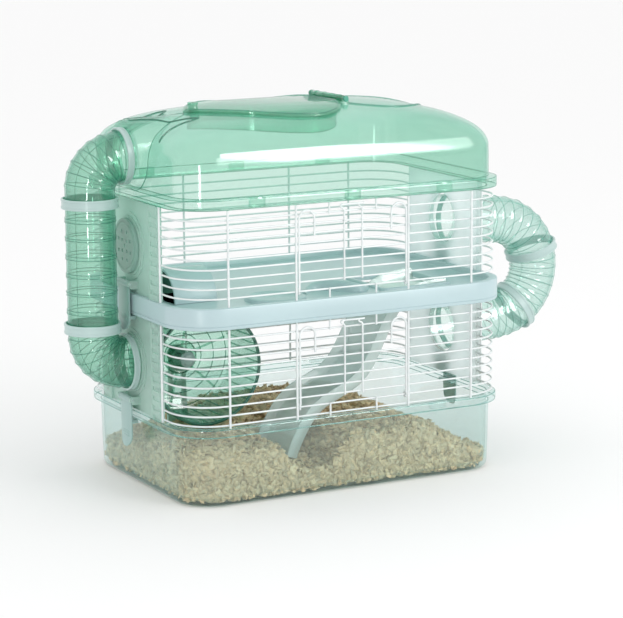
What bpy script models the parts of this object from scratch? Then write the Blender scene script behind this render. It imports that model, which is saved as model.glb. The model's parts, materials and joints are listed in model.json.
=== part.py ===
"""Two-storey hamster cage: tray, wire storeys, platform, dome, tubes, wheel."""
import math

import bmesh
import bpy
from mathutils import Matrix, Vector

MM = 0.001

# Plan outline of the band round the middle; other levels are inset from it.
BAND_W = 370.0
BAND_D = 263.0
BAND_R = 46.6
CORNER_SEGS = 5

# Heights above the underside of the tray.
TRAY_RIM_LOW = 70.7
TRAY_RIM_TOP = 79.0
BAND_LOW = 176.3
BAND_TOP = 197.5
DOME_LOW = 291.4
DOME_RIM_TOP = 301.4
GAP = 0.3

# Wire grilles.
PITCH = 9.43
WIRE_R = 1.0
WIRE_X = 180.0
WIRE_Y = 126.4
WIRE_CORNER = 42.0
UPRIGHT_Y = 127.6
UPRIGHT_X = 181.2
GRILLE_END_Y = 69.6
LOWER_WIRE_Z = 82.0
UPPER_WIRE_Z = 206.1
LOWER_DOOR_Z = LOWER_WIRE_Z + PITCH
UPPER_DOOR_Z = UPPER_WIRE_Z
DOOR_PITCHES = 8
DOOR_POST_X = 62.5
DOOR_SIDE_X = 59.6
DOOR_Y = 128.9

# Side panels and their ports.
PANEL_IN = 177.6
PANEL_FACE = 180.4
PANEL_OUT = 183.4
PANEL_Y = 69.0
RAIL_Y = 49.0
PORT_R = 26.5
PORT_BOSS_R = 30.0
LOWER_PORT_Z = 127.0
UPPER_PORT_Z = 244.0

# Tubes.
TUBE_R = 25.5
TUBE_WALL = 1.8
RING_R = 28.6
RING_WALL = 2.1
TUBE_RESOLUTION = 8
RING_STEPS = 24
LEFT_AXIS_X = -222.5
LEFT_BEND = 31.0
RIGHT_BEND = 52.0
RIGHT_TILT = 6.0

# Dome port at the left end.
COWL_R = 35.0
COWL_X = -185.4
COWL_Z = 333.4
COWL_TILT = 2.0

# Clips.
CLIP_PIN_X = 188.2
UPPER_CLIP_Z = 207.5
LOWER_CLIP_Z = 90.6

# Wheel.
WHEEL_X = -114.0
WHEEL_Z = 119.0
WHEEL_R = 59.0

# Lid hinge.
HINGE_X = 42.6
HINGE_Z = 379.8

# Slide and hide.
SLIDE_Y = -50.0
SLIDE_FOOT_Z = 28.0
HIDE_Y = -23.5
HIDE_Z = 190.8
HIDE_R = 31.0
HIDE_BORE_R = 28.8

# Colours.
MINT = (0.42, 0.76, 0.62)
PALE_MINT = (0.62, 0.80, 0.74)
ICE = (0.68, 0.82, 0.84)
WHITE = (0.86, 0.90, 0.89)
RING = (0.60, 0.72, 0.71)
STRAW = (0.66, 0.55, 0.36)

for old in list(bpy.data.objects):
    bpy.data.objects.remove(old, do_unlink=True)
parts = bpy.data.collections.new("hamster_cage")
bpy.context.scene.collection.children.link(parts)


def shade(name, colour, roughness=0.35, alpha=1.0):
    """A plain principled material of its own for one piece."""
    mat = bpy.data.materials.new("mat_" + name)
    mat.use_nodes = True
    shader = mat.node_tree.nodes["Principled BSDF"]
    shader.inputs["Base Color"].default_value = (*colour, 1.0)
    shader.inputs["Roughness"].default_value = roughness
    shader.inputs["Alpha"].default_value = alpha
    return mat


def add(name, bm):
    """Turn a bmesh in millimetres into an object in metres."""
    bmesh.ops.remove_doubles(bm, verts=bm.verts, dist=0.001)
    bmesh.ops.recalc_face_normals(bm, faces=bm.faces)
    bmesh.ops.scale(bm, vec=(MM, MM, MM), verts=bm.verts)
    mesh = bpy.data.meshes.new(name)
    bm.to_mesh(mesh)
    bm.free()
    obj = bpy.data.objects.new(name, mesh)
    parts.objects.link(obj)
    return obj


def skin(rings, closed=False):
    """Join equal rings of points into one surface, capped unless closed."""
    bm = bmesh.new()
    loops = [[bm.verts.new(p) for p in ring] for ring in rings]
    pairs = list(zip(loops, loops[1:]))
    if closed:
        pairs.append((loops[-1], loops[0]))
    count = len(loops[0])
    for low, high in pairs:
        for i in range(count):
            j = (i + 1) % count
            bm.faces.new((low[i], low[j], high[j], high[i]))
    if not closed:
        bm.faces.new(loops[0])
        bm.faces.new(loops[-1])
    return bm


def outline(inset, z, radius=None):
    """Rounded rectangle at height z, inset from the band's outer face."""
    r = radius if radius else BAND_R - inset
    half_x = BAND_W / 2 - inset
    half_y = BAND_D / 2 - inset
    points = []
    for k, (sx, sy) in enumerate(((1, 1), (-1, 1), (-1, -1), (1, -1))):
        for s in range(CORNER_SEGS + 1):
            a = math.radians(90 * (k + s / CORNER_SEGS))
            x = sx * (half_x - r) + r * math.cos(a)
            y = sy * (half_y - r) + r * math.sin(a)
            points.append((x, y, z))
    return points


def loft(name, levels, closed=False):
    """Shell or block through rounded outlines given as (inset, z, radius)."""
    return add(name, skin([outline(*level) for level in levels], closed))


def box(name, low, high):
    """Box between two corners."""
    bm = bmesh.new()
    size = [b - a for a, b in zip(low, high)]
    middle = [(a + b) / 2 for a, b in zip(low, high)]
    matrix = Matrix.Translation(middle) @ Matrix.Diagonal((*size, 1.0))
    bmesh.ops.create_cube(bm, size=1.0, matrix=matrix)
    return add(name, bm)


def rod(name, start, end, radius, sides=16):
    """Round bar between two points."""
    a = Vector(start)
    b = Vector(end)
    turn = (b - a).to_track_quat("Z", "Y").to_matrix().to_4x4()
    matrix = Matrix.Translation((a + b) / 2) @ turn
    bm = bmesh.new()
    bmesh.ops.create_cone(
        bm, cap_ends=True, segments=sides, radius1=radius, radius2=radius,
        depth=(b - a).length, matrix=matrix,
    )
    return add(name, bm)


def prism(name, points, low, high, plane="XZ"):
    """Flat outline extruded along the axis across its plane."""
    rings = []
    for level in (low, high):
        if plane == "XZ":
            rings.append([(u, level, v) for u, v in points])
        elif plane == "YZ":
            rings.append([(level, u, v) for u, v in points])
        else:
            rings.append([(u, v, level) for u, v in points])
    return add(name, skin(rings))


def bake(obj):
    """Apply the modifiers of an object."""
    graph = bpy.context.evaluated_depsgraph_get()
    mesh = bpy.data.meshes.new_from_object(obj.evaluated_get(graph))
    obj.modifiers.clear()
    obj.data = mesh
    return obj


def combine(obj, tool, operation):
    """Boolean two closed solids and drop the second."""
    step = obj.modifiers.new("step", "BOOLEAN")
    step.operation = operation
    step.solver = "EXACT"
    step.object = tool
    bake(obj)
    bpy.data.objects.remove(tool, do_unlink=True)
    return obj


def cut(obj, *tools):
    for tool in tools:
        combine(obj, tool, "DIFFERENCE")
    return obj


def fuse(obj, *tools):
    for tool in tools:
        combine(obj, tool, "UNION")
    return obj


def gather(name, pieces):
    """Several separate solids held in one mesh."""
    bm = bmesh.new()
    for piece in pieces:
        bm.from_mesh(piece.data)
        bpy.data.objects.remove(piece, do_unlink=True)
    mesh = bpy.data.meshes.new(name)
    bm.to_mesh(mesh)
    bm.free()
    obj = bpy.data.objects.new(name, mesh)
    parts.objects.link(obj)
    return obj


def rail(name, path, radius, resolution=0):
    """Bevelled curve with filled caps along a path, as a solid."""
    curve = bpy.data.curves.new(name, "CURVE")
    curve.dimensions = "3D"
    curve.bevel_depth = radius * MM
    curve.bevel_resolution = resolution
    curve.use_fill_caps = True
    spline = curve.splines.new("POLY")
    spline.points.add(len(path) - 1)
    for point, spot in zip(spline.points, path):
        point.co = (*(Vector(spot) * MM), 1.0)
    carrier = bpy.data.objects.new(name, curve)
    parts.objects.link(carrier)
    graph = bpy.context.evaluated_depsgraph_get()
    mesh = bpy.data.meshes.new_from_object(carrier.evaluated_get(graph))
    bpy.data.objects.remove(carrier, do_unlink=True)
    return solid(name, mesh)


def solid(name, mesh):
    """Closed object from a mesh already in metres, its normals outward."""
    bm = bmesh.new()
    bm.from_mesh(mesh)
    bmesh.ops.remove_doubles(bm, verts=bm.verts, dist=0.001 * MM)
    bmesh.ops.recalc_face_normals(bm, faces=bm.faces)
    bm.to_mesh(mesh)
    bm.free()
    obj = bpy.data.objects.new(name, mesh)
    parts.objects.link(obj)
    return obj


def turned(name, profile, steps, centre, direction):
    """Closed profile of (radius, along) pairs spun about a direction."""
    mesh = bpy.data.meshes.new(name)
    edges = [(i, (i + 1) % len(profile)) for i in range(len(profile))]
    mesh.from_pydata([(r * MM, 0.0, along * MM) for r, along in profile], edges, [])
    carrier = bpy.data.objects.new(name, mesh)
    parts.objects.link(carrier)
    spin = carrier.modifiers.new("spin", "SCREW")
    spin.axis = "Z"
    spin.steps = steps
    spin.render_steps = steps
    spin.use_merge_vertices = True
    spin.merge_threshold = 0.001 * MM
    bake(carrier)
    turn = Vector(direction).to_track_quat("Z", "Y").to_matrix().to_4x4()
    carrier.data.transform(Matrix.Translation(Vector(centre) * MM) @ turn)
    spun = solid(name, carrier.data)
    bpy.data.objects.remove(carrier, do_unlink=True)
    return spun


def pipe(name, path, outer, wall):
    """Hollow tube along a path, open at both ends."""
    points = [Vector(p) for p in path]
    first = points[0] + (points[0] - points[1]).normalized()
    last = points[-1] + (points[-1] - points[-2]).normalized()
    body = rail(name, points, outer, TUBE_RESOLUTION)
    return cut(body, rail("bore", [first, *points, last], outer - wall, TUBE_RESOLUTION))


def pivot(obj, point):
    """Put the origin of a moving piece on its joint's axis."""
    spot = Vector(point) * MM
    obj.data.transform(Matrix.Translation(-spot))
    obj.location = spot
    return obj


def arc(centre_x, centre_z, radius, start, end, steps):
    """Points on an arc in the XZ plane, angles in degrees from +X."""
    points = []
    for s in range(steps + 1):
        a = math.radians(start + (end - start) * s / steps)
        x = centre_x + radius * math.cos(a)
        z = centre_z + radius * math.sin(a)
        points.append((x, 0.0, z))
    return points


def finish(obj, name, mat):
    """Name an object and give it its material."""
    obj.name = name
    obj.data.name = name
    obj.data.materials.clear()
    obj.data.materials.append(mat)
    for face in obj.data.polygons:
        face.material_index = 0
    return obj


# Tray: bottom, wall, outward rim and hollow inside.
tray = loft("base_tray", [
    (17.0, 0.0, 31.0), (10.5, 5.0), (8.2, TRAY_RIM_LOW), (1.0, TRAY_RIM_LOW),
    (1.0, TRAY_RIM_TOP), (10.4, TRAY_RIM_TOP), (12.7, 7.0), (18.0, 2.2, 29.0),
])
finish(tray, "base_tray", shade("base_tray", (0.55, 0.80, 0.76), 0.1, 0.35))

# Wheel stand: foot on the tray floor, post and boss behind the drum.
stand = box("stand", (-150, 26, 2.6), (-78, 62, 6.0))
fuse(
    stand,
    box("post", (-122, 38.5, 5.0), (-106, 43.0, WHEEL_Z)),
    rod("boss", (WHEEL_X, 38.5, WHEEL_Z), (WHEEL_X, 43.0, WHEEL_Z), 10.5, 24),
)
cut(stand, rod("bore", (WHEEL_X, 30, WHEEL_Z), (WHEEL_X, 50, WHEEL_Z), 3.3))
finish(stand, "wheel_stand", shade("wheel_stand", PALE_MINT))

# Wood shavings round the stand and the slide's foot, falling to the right end.
bedding = loft("bedding", [
    (19.0, 2.6, 28.0), (13.4, 8.0), (11.4, 50.0), (15.0, 54.5),
    (30.0, 56.5, 30.0), (60.0, 57.5, 30.0),
])
cut(
    bedding,
    box("foot_room", (-150.5, 25.5, 0), (-77.5, 62.5, 6.4)),
    box("post_room", (-122.5, 38.0, 5.0), (-105.5, 43.5, 70)),
    box("slide_room", (-57.0, -130.0, SLIDE_FOOT_Z - 2), (-20.0, -13.0, 60.0)),
    prism(
        "slope",
        [(76, 60), (190, 60), (190, 14), (166, 16), (142, 26), (108, 46), (90, 54)],
        -130.0, 130.0,
    ),
)
finish(bedding, "bedding", shade("bedding", STRAW, 0.9))


def side_panel(name, sign, low, high, port_z, clip_z):
    """Solid side panel with rails, a round port and two clip lugs."""
    panel = box("panel", (PANEL_IN, -PANEL_Y, low), (PANEL_FACE, PANEL_Y, high))
    extras = []
    for side in (-1, 1):
        y0, y1 = sorted((side * RAIL_Y, side * PANEL_Y))
        corner = (PANEL_OUT, y1, high)
        extras.append(box("rail", (PANEL_IN, y0, low), corner))
        y0, y1 = sorted((side * 13.6, side * 16.4))
        lug = prism(
            "lug",
            [
                (PANEL_FACE - 1, clip_z - 6), (CLIP_PIN_X, clip_z - 3.2),
                (CLIP_PIN_X + 3, clip_z), (CLIP_PIN_X, clip_z + 3.2),
                (PANEL_FACE - 1, clip_z + 5),
            ],
            y0, y1,
        )
        extras.append(lug)
    extras.append(
        rod("boss", (PANEL_IN, 0, port_z), (PANEL_OUT, 0, port_z), PORT_BOSS_R, 32)
    )
    fuse(panel, *extras)
    cut(
        panel,
        rod("port", (170, 0, port_z), (190, 0, port_z), PORT_R, 32),
        rod("bore", (CLIP_PIN_X, -20, clip_z), (CLIP_PIN_X, 20, clip_z), 1.6, 12),
    )
    if sign < 0:
        panel.data.transform(Matrix.Scale(-1, 4, (1, 0, 0)))
        panel.data.flip_normals()
    finish(panel, name, shade(name, PALE_MINT))


SIDES = (("left", -1), ("right", 1))
for side_name, sign in SIDES:
    side_panel(
        "lower_" + side_name + "_panel", sign,
        TRAY_RIM_TOP + GAP, BAND_LOW - GAP, LOWER_PORT_Z, LOWER_CLIP_Z,
    )
    side_panel(
        "upper_" + side_name + "_panel", sign,
        BAND_TOP + GAP, DOME_LOW - GAP, UPPER_PORT_Z, UPPER_CLIP_Z,
    )


def half_course(z):
    """Left half of a horizontal wire, from the panel to the corner's end."""
    cx = -(WIRE_X - WIRE_CORNER)
    cy = -(WIRE_Y - WIRE_CORNER)
    points = [(-WIRE_X, -GRILLE_END_Y, z)]
    for s in range(4):
        a = math.radians(180 + 30 * s)
        x = cx + WIRE_CORNER * math.cos(a)
        y = cy + WIRE_CORNER * math.sin(a)
        points.append((x, y, z))
    return points


def mirrored(points):
    return [(-x, y, z) for x, y, z in reversed(points)]


def grille(name, rear, low, high, first, courses, door=None):
    """U-shaped wire panel round two corners, with an opening if door is set."""
    across = []
    for k in range(courses):
        z = first + k * PITCH
        left = half_course(z)
        hole = door is not None and door + 1 < z < door + DOOR_PITCHES * PITCH - 1
        if hole:
            left = left + [(-DOOR_POST_X + 0.6, -WIRE_Y, z)]
            across.append(rail("wire", left, WIRE_R))
            across.append(rail("wire", mirrored(left), WIRE_R))
        else:
            across.append(rail("wire", left + mirrored(left), WIRE_R))
    upright = []
    spans = [(x, low, high) for x in (-135.5, -DOOR_POST_X, DOOR_POST_X, 135.5)]
    if door is not None:
        top = door + DOOR_PITCHES * PITCH
        for x in (-26.0, 26.0):
            spans.append((x, low, door + 0.7))
            spans.append((x, top - 0.7, high))
    for x, z0, z1 in spans:
        path = [(x, -UPRIGHT_Y, z0), (x, -UPRIGHT_Y, z1)]
        upright.append(rail("wire", path, WIRE_R))
    for x in (-UPRIGHT_X, UPRIGHT_X):
        path = [(x, -GRILLE_END_Y - 2.4, low), (x, -GRILLE_END_Y - 2.4, high)]
        upright.append(rail("wire", path, WIRE_R))
    body = gather("across", across)
    fuse(body, gather("upright", upright))
    if rear:
        body.data.transform(Matrix.Scale(-1, 4, (0, 1, 0)))
        body.data.flip_normals()
    finish(body, name, shade(name, WHITE, 0.3))


LOWER = (TRAY_RIM_TOP + GAP, BAND_LOW - GAP, LOWER_WIRE_Z, 10)
UPPER = (BAND_TOP + GAP, DOME_LOW - GAP, UPPER_WIRE_Z, 9)
grille("lower_front_grille", False, *LOWER, LOWER_DOOR_Z)
grille("lower_rear_grille", True, *LOWER)
grille("upper_front_grille", False, *UPPER, UPPER_DOOR_Z)
grille("upper_rear_grille", True, *UPPER)


def wire_door(name, base):
    """Wire door on two eyes round the lowest fixed wire of its opening."""
    courses = []
    for k in range(1, DOOR_PITCHES):
        z = base + k * PITCH
        ends = [(-DOOR_SIDE_X - 0.5, -DOOR_Y + 1.1, z)]
        ends.append((DOOR_SIDE_X + 0.5, -DOOR_Y + 1.1, z))
        courses.append(rail("wire", ends, WIRE_R))
    top = base + DOOR_PITCHES * PITCH + 6.6
    hook = [(-13.0, -DOOR_Y + 0.6, top), (13.0, -DOOR_Y + 0.6, top)]
    courses.append(rail("wire", hook, WIRE_R))
    posts = []
    for side in (-1, 1):
        path = [(side * DOOR_SIDE_X, -DOOR_Y, base + 1.2)]
        crown = base + 70.9
        for s in range(7):
            a = math.radians(30 * s)
            x = side * (DOOR_SIDE_X - 8.4 + 8.4 * math.cos(a))
            path.append((x, -DOOR_Y, crown + 8.4 * math.sin(a)))
        path.append((side * (DOOR_SIDE_X - 16.8), -DOOR_Y, base + 54.0))
        posts.append(rail("wire", path, WIRE_R))
        path = [(side * 10.0, -DOOR_Y, base + PITCH - 1.6)]
        path.append((side * 10.0, -DOOR_Y, top + 0.8))
        posts.append(rail("wire", path, WIRE_R))
    door = gather("courses", courses)
    fuse(door, gather("posts", posts))
    for side in (-1, 1):
        ends = (side * DOOR_SIDE_X - 1.1, side * DOOR_SIDE_X + 1.1)
        start = (ends[0], -WIRE_Y, base)
        end = (ends[1], -WIRE_Y, base)
        eye = rod("eye", start, end, 2.9, 12)
        fuse(door, eye)
        bore = rod("bore", (ends[0] - 1, *start[1:]), (ends[1] + 1, *end[1:]), 1.6, 12)
        cut(door, bore)
    finish(door, name, shade(name, WHITE, 0.3))
    pivot(door, (0, -WIRE_Y, base))


wire_door("lower_door", LOWER_DOOR_Z)
wire_door("upper_door", UPPER_DOOR_Z)

# Platform: band with the upper floor inside it and the hole for the slide.
platform = loft("platform", [
    (9.4, 187.5), (9.0, BAND_LOW), (0.0, BAND_LOW), (0.0, BAND_TOP),
    (9.0, BAND_TOP), (9.4, 190.5),
])
cut(platform, box("slide_hole", (58.0, -88.0, 180.0), (132.0, -12.0, 196.0)))
finish(platform, "platform", shade("platform", ICE))

# Slide: a channel along an S-curve.
SLIDE_PATH = [
    (131.5, 184.5), (108.0, 183.0), (90.0, 177.5), (77.0, 166.0), (66.0, 148.0),
    (54.0, 125.0), (40.0, 104.0), (22.0, 90.5), (2.0, 81.5), (-13.0, 73.0),
    (-23.5, 62.0), (-31.0, 50.0), (-37.0, 38.5), (-41.0, SLIDE_FOOT_Z),
]
SLIDE_SECTION = [
    (-35, 12), (-35, 0), (35, 0), (35, 12), (33, 12), (33, 2), (-33, 2), (-33, 12),
]


def slide_rings():
    rings = []
    last = len(SLIDE_PATH) - 1
    for i, (x, z) in enumerate(SLIDE_PATH):
        x0, z0 = SLIDE_PATH[max(i - 1, 0)]
        x1, z1 = SLIDE_PATH[min(i + 1, last)]
        along = Vector((x1 - x0, z1 - z0)).normalized()
        normal = Vector((-along.y, along.x))
        if normal.y < 0:
            normal = -normal
        ring = []
        for y, rise in SLIDE_SECTION:
            ring.append((x + normal.x * rise, y + SLIDE_Y, z + normal.y * rise))
        rings.append(ring)
    return rings


slide = add("slide", skin(slide_rings()))
finish(slide, "slide_ramp", shade("slide_ramp", (0.75, 0.88, 0.86), 0.2, 0.6))

# Hide: arched shell standing on the upper floor.
hide = rod("hide", (-158, HIDE_Y, HIDE_Z), (-112, HIDE_Y, HIDE_Z), HIDE_R, 28)
cut(
    hide,
    rod("hollow", (-160, HIDE_Y, HIDE_Z), (-110, HIDE_Y, HIDE_Z), HIDE_BORE_R, 28),
    box("under", (-170, HIDE_Y - 50, 150), (-100, HIDE_Y + 50, HIDE_Z)),
)
finish(hide, "hide_arch", shade("hide_arch", PALE_MINT))

# Dome shell with its rim.
OUTER = [
    (1.1, DOME_LOW), (1.1, DOME_RIM_TOP), (9.3, DOME_RIM_TOP), (9.5, 328.0),
    (11.0, 339.0), (16.0, 349.0, 38.0), (25.0, 357.0, 42.0), (40.0, 364.5, 46.0),
    (60.0, 370.0, 50.0), (85.0, 374.0, 42.0), (108.0, 375.6, 22.0),
]
INNER = [
    (11.5, DOME_LOW - 1), (11.5, 328.0), (13.0, 338.2), (17.8, 347.4, 36.0),
    (26.4, 355.0, 40.0), (41.0, 362.3, 44.0), (60.6, 367.8, 48.0),
    (85.3, 371.8, 41.0), (108.0, 373.4, 22.0),
]


def raised(levels, rise):
    return [(level[0], level[1] + rise, *level[2:]) for level in levels]


def lid_outline(shrink):
    """Almond outline of the lid, pointed at the left end."""
    half = [
        (-121, 0), (-107, 26), (-88, 48), (-62, 66), (-32, 77), (-4, 79),
        (17, 68), (30, 50), (36.0, 32.8), (40.6, 32.0),
    ]
    middle = Vector((-30.0, 0.0))
    points = []
    for x, y in half + [(x, -y) for x, y in reversed(half[1:])]:
        away = Vector((x, y)) - middle
        away -= away.normalized() * shrink
        points.append((middle.x + away.x, middle.y + away.y))
    return points


tilt = math.radians(COWL_TILT)
PORT_DIR = Vector((math.cos(tilt), 0.0, math.sin(tilt)))
PORT = Vector((COWL_X, 0.0, COWL_Z))

dome = loft("dome", OUTER)
fuse(dome, rod("cowl", PORT, PORT + PORT_DIR * 82, COWL_R, 32))
for side in (-1, 1):
    y0, y1 = sorted((side * 33.0, side * 36.5))
    profile = [
        (HINGE_X - 4, 371), (HINGE_X + 5, 371), (HINGE_X + 3.4, HINGE_Z + 2),
        (HINGE_X, HINGE_Z + 3.6), (HINGE_X - 3.4, HINGE_Z + 2),
    ]
    fuse(dome, prism("lug", profile, y0, y1))
cut(
    dome,
    loft("hollow", INNER),
    rod("cowl_hollow", PORT + PORT_DIR * 2.2, PORT + PORT_DIR * 80, COWL_R - 2.2, 32),
    rod("port", PORT - PORT_DIR * 2, PORT + PORT_DIR * 6, PORT_R, 32),
    prism("hatch", lid_outline(5.0), 350, 400, "XY"),
    rod("bore", (HINGE_X, -40, HINGE_Z), (HINGE_X, 40, HINGE_Z), 1.9, 12),
)
finish(dome, "dome_top", shade("dome_top", MINT, 0.08, 0.4))

# Lid: follows the crown of the dome, with knuckle and knob.
lid = loft("lid", raised(OUTER, 3.0))
combine(lid, prism("blank", lid_outline(0.0), 345, 400, "XY"), "INTERSECT")
cut(lid, loft("clear", raised(OUTER, 0.9)))
fuse(
    lid,
    rod("knuckle", (HINGE_X, -32.4, HINGE_Z), (HINGE_X, 32.4, HINGE_Z), 3.4, 16),
    rod("knob", (-110, 0, 374.0), (-110, 0, 381.5), 5.0, 20),
)
cut(lid, rod("bore", (HINGE_X, -40, HINGE_Z), (HINGE_X, 40, HINGE_Z), 1.9, 12))
finish(lid, "dome_lid", shade("dome_lid", MINT, 0.08, 0.45))
pivot(lid, (HINGE_X, 0, HINGE_Z))
pin = rod("pin", (HINGE_X, -38.0, HINGE_Z), (HINGE_X, 38.0, HINGE_Z), 1.6, 12)
finish(pin, "lid_hinge_pin", shade("lid_hinge_pin", MINT))

# Wheel drum, open at the front, turning on a fixed axle.
HUB = (WHEEL_X, 0, WHEEL_Z)
drum = turned("drum", [
    (WHEEL_R, -35), (WHEEL_R, 35), (9, 35), (9, 37), (3.4, 37), (3.4, 15), (9, 15),
    (9, 33), (WHEEL_R - 2, 33), (WHEEL_R - 2, -35),
], 40, HUB, (0, 1, 0))
finish(drum, "wheel_drum", shade("wheel_drum", (0.35, 0.66, 0.52), 0.1, 0.45))
pivot(drum, HUB)
axle = rod("axle", (WHEEL_X, 16, WHEEL_Z), (WHEEL_X, 45, WHEEL_Z), 3.0, 16)
finish(axle, "wheel_axle", shade("wheel_axle", RING))
cap = rod("cap", (WHEEL_X, 10.5, WHEEL_Z), (WHEEL_X, 14.7, WHEEL_Z), 8.0, 24)
finish(cap, "wheel_hub_cap", shade("wheel_hub_cap", RING))
pivot(cap, HUB)


def clear_tube(name, path):
    tube = pipe(name, path, TUBE_R, TUBE_WALL)
    return finish(tube, name, shade(name, MINT, 0.08, 0.4))


def locking_ring(name, centre, direction, length):
    """Sleeve over the joint between two tubes, its edges chamfered."""
    half = length / 2
    bore = RING_R - RING_WALL
    profile = [
        (bore, -half), (RING_R - 0.7, -half), (RING_R, 0.7 - half),
        (RING_R, half - 0.7), (RING_R - 0.7, half), (bore, half),
    ]
    ring = turned(name, profile, RING_STEPS, centre, direction)
    return finish(ring, name, shade(name, RING, 0.35, 0.9))


# Left tube run, from the lower port up to the dome.
BEND_X = LEFT_AXIS_X + LEFT_BEND
LOW_RING_Z = 165.5
TOP_RING_Z = 289.5
TOP_BEND_Z = 302.0
lower_bend = arc(BEND_X, LOWER_PORT_Z + LEFT_BEND, LEFT_BEND, 270, 180, 6)
clear_tube(
    "left_elbow_lower",
    [(-177.0, 0, LOWER_PORT_Z)] + lower_bend
    + [(LEFT_AXIS_X, 0, LOW_RING_Z - GAP / 2)],
)
clear_tube("left_straight_tube", [
    (LEFT_AXIS_X, 0, LOW_RING_Z + GAP / 2),
    (LEFT_AXIS_X, 0, TOP_RING_Z - GAP / 2),
])
upper_bend = arc(BEND_X, TOP_BEND_Z, LEFT_BEND, 180, 90 + COWL_TILT, 6)
bend_end = Vector(upper_bend[-1])
clear_tube(
    "left_elbow_upper",
    [(LEFT_AXIS_X, 0, TOP_RING_Z + GAP / 2)] + upper_bend
    + [tuple(bend_end + PORT_DIR * 10.0)],
)
up = (0, 0, 1)
locking_ring("left_ring_lower", (LEFT_AXIS_X, 0, LOW_RING_Z), up, 10)
locking_ring("left_ring_upper", (LEFT_AXIS_X, 0, TOP_RING_Z), up, 10)
locking_ring("left_port_collar", (-187.2, 0, LOWER_PORT_Z), (1, 0, 0), 6.4)
locking_ring("dome_port_ring", bend_end + PORT_DIR * 3.6, PORT_DIR, 6.6)

# Right tube run, from the upper port round and down to the lower port.
slope = math.radians(RIGHT_TILT)
RIGHT_MIDDLE_Z = (LOWER_PORT_Z + UPPER_PORT_Z) / 2
RIGHT_DIR = Vector((math.cos(slope), 0.0, -math.sin(slope)))
half_gap = (UPPER_PORT_Z - LOWER_PORT_Z) / 2
rise = RIGHT_BEND * math.cos(slope)
RUN = (half_gap - rise) / math.tan(slope)
CENTRE_X = PANEL_FACE + 0.2 + RUN - RIGHT_BEND * math.sin(slope)
RING_B = 18.0
RING_C = -57.0


def right_arc(start, end, steps):
    return arc(CENTRE_X, RIGHT_MIDDLE_Z, RIGHT_BEND, start, end, steps)


def right_spout(joint, side):
    """Point just short of a joint, so the tube ends square to the bend."""
    angle = joint + CUT * side
    a = math.radians(joint)
    spot = Vector(right_arc(angle, angle, 1)[0])
    return tuple(spot + Vector((math.sin(a), 0.0, -math.cos(a))) * SPOUT * side)


SPOUT = 1.6
CUT = 1.95
top_end = right_arc(90 - RIGHT_TILT, RING_B + CUT, 6)
clear_tube(
    "right_elbow_upper",
    [(PANEL_IN - 0.6, 0, UPPER_PORT_Z + 0.36)] + top_end + [right_spout(RING_B, 1)],
)
middle = right_arc(RING_B - CUT, RING_C + CUT, 6)
clear_tube(
    "right_elbow_lower",
    [right_spout(RING_B, -1)] + middle + [right_spout(RING_C, 1)],
)
low_end = right_arc(RING_C - CUT, -(90 - RIGHT_TILT), 3)
clear_tube(
    "right_port_stub",
    [right_spout(RING_C, -1)] + low_end + [(PANEL_IN - 0.6, 0, LOWER_PORT_Z - 0.36)],
)
for name, angle in (("right_ring_middle", RING_B), ("right_ring_lower", RING_C)):
    spot = right_arc(angle, angle, 1)[0]
    a = math.radians(angle - 90)
    locking_ring(name, spot, (math.cos(a), 0, math.sin(a)), 9)
collar = Vector((190.0, 0.0, UPPER_PORT_Z - 0.99))
locking_ring("right_collar_upper", collar, RIGHT_DIR, 5.4)
collar = Vector((190.0, 0.0, LOWER_PORT_Z + 0.99))
locking_ring("right_collar_lower", collar, (math.cos(slope), 0, math.sin(slope)), 5.4)

# Vent cap pressed into the upper left port.
vent = turned("vent", [
    (0, 0), (27.5, 0), (27.5, 3.2), (25.5, 3.2), (25.5, 8.9), (23.8, 8.9), (23.8, 2.2), (0, 2.2),
], 32, (-186.9, 0, UPPER_PORT_Z), (1, 0, 0))
holes = []
for count, radius in ((1, 0.0), (4, 7.5), (8, 15.0)):
    for k in range(count):
        a = 2 * math.pi * (k + 0.5) / count
        y = radius * math.cos(a)
        z = UPPER_PORT_Z + radius * math.sin(a)
        holes.append(rod("hole", (-190, y, z), (-182, y, z), 1.6, 8))
cut(vent, gather("holes", holes))
finish(vent, "vent_cap", shade("vent_cap", (0.44, 0.60, 0.52)))
pivot(vent, (-186.9, 0, UPPER_PORT_Z))


def clip(name, sign, pin_z, hook_z, tip_z):
    """Side clip: knuckle, plate, hook under the rim and a flared tongue."""
    x = CLIP_PIN_X
    plate = [
        (x - 1.0, pin_z - 1.5), (x + 1.0, pin_z - 1.5), (x + 1.2, tip_z + 7),
        (x + 3.2, tip_z), (x + 1.6, tip_z), (x - 0.8, tip_z + 7),
        (x - 0.8, hook_z - 3.2), (181.4, hook_z - 3.2), (181.4, hook_z),
        (x - 1.0, hook_z),
    ]
    body = prism("plate", plate, -12.6, 12.6)
    fuse(body, rod("knuckle", (x, -13.2, pin_z), (x, 13.2, pin_z), 3.2, 16))
    cut(body, rod("bore", (x, -15, pin_z), (x, 15, pin_z), 1.6, 12))
    bar = rod("pin", (x, -16.6, pin_z), (x, 16.6, pin_z), 1.3, 12)
    for obj in (body, bar):
        if sign < 0:
            obj.data.transform(Matrix.Scale(-1, 4, (1, 0, 0)))
            obj.data.flip_normals()
    finish(body, name, shade(name, PALE_MINT))
    finish(bar, name + "_pin", shade(name + "_pin", RING))
    pivot(body, (sign * CLIP_PIN_X, 0, pin_z))


for side_name, sign in SIDES:
    clip(side_name + "_clip_upper", sign, UPPER_CLIP_Z, BAND_LOW - 1.2, 160.5)
    clip(side_name + "_clip_lower", sign, LOWER_CLIP_Z, TRAY_RIM_LOW - 1.2, 42.0)
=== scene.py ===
import json
import math
import random

import bmesh
import bpy
import numpy as np
from mathutils import Matrix, Vector


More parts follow.
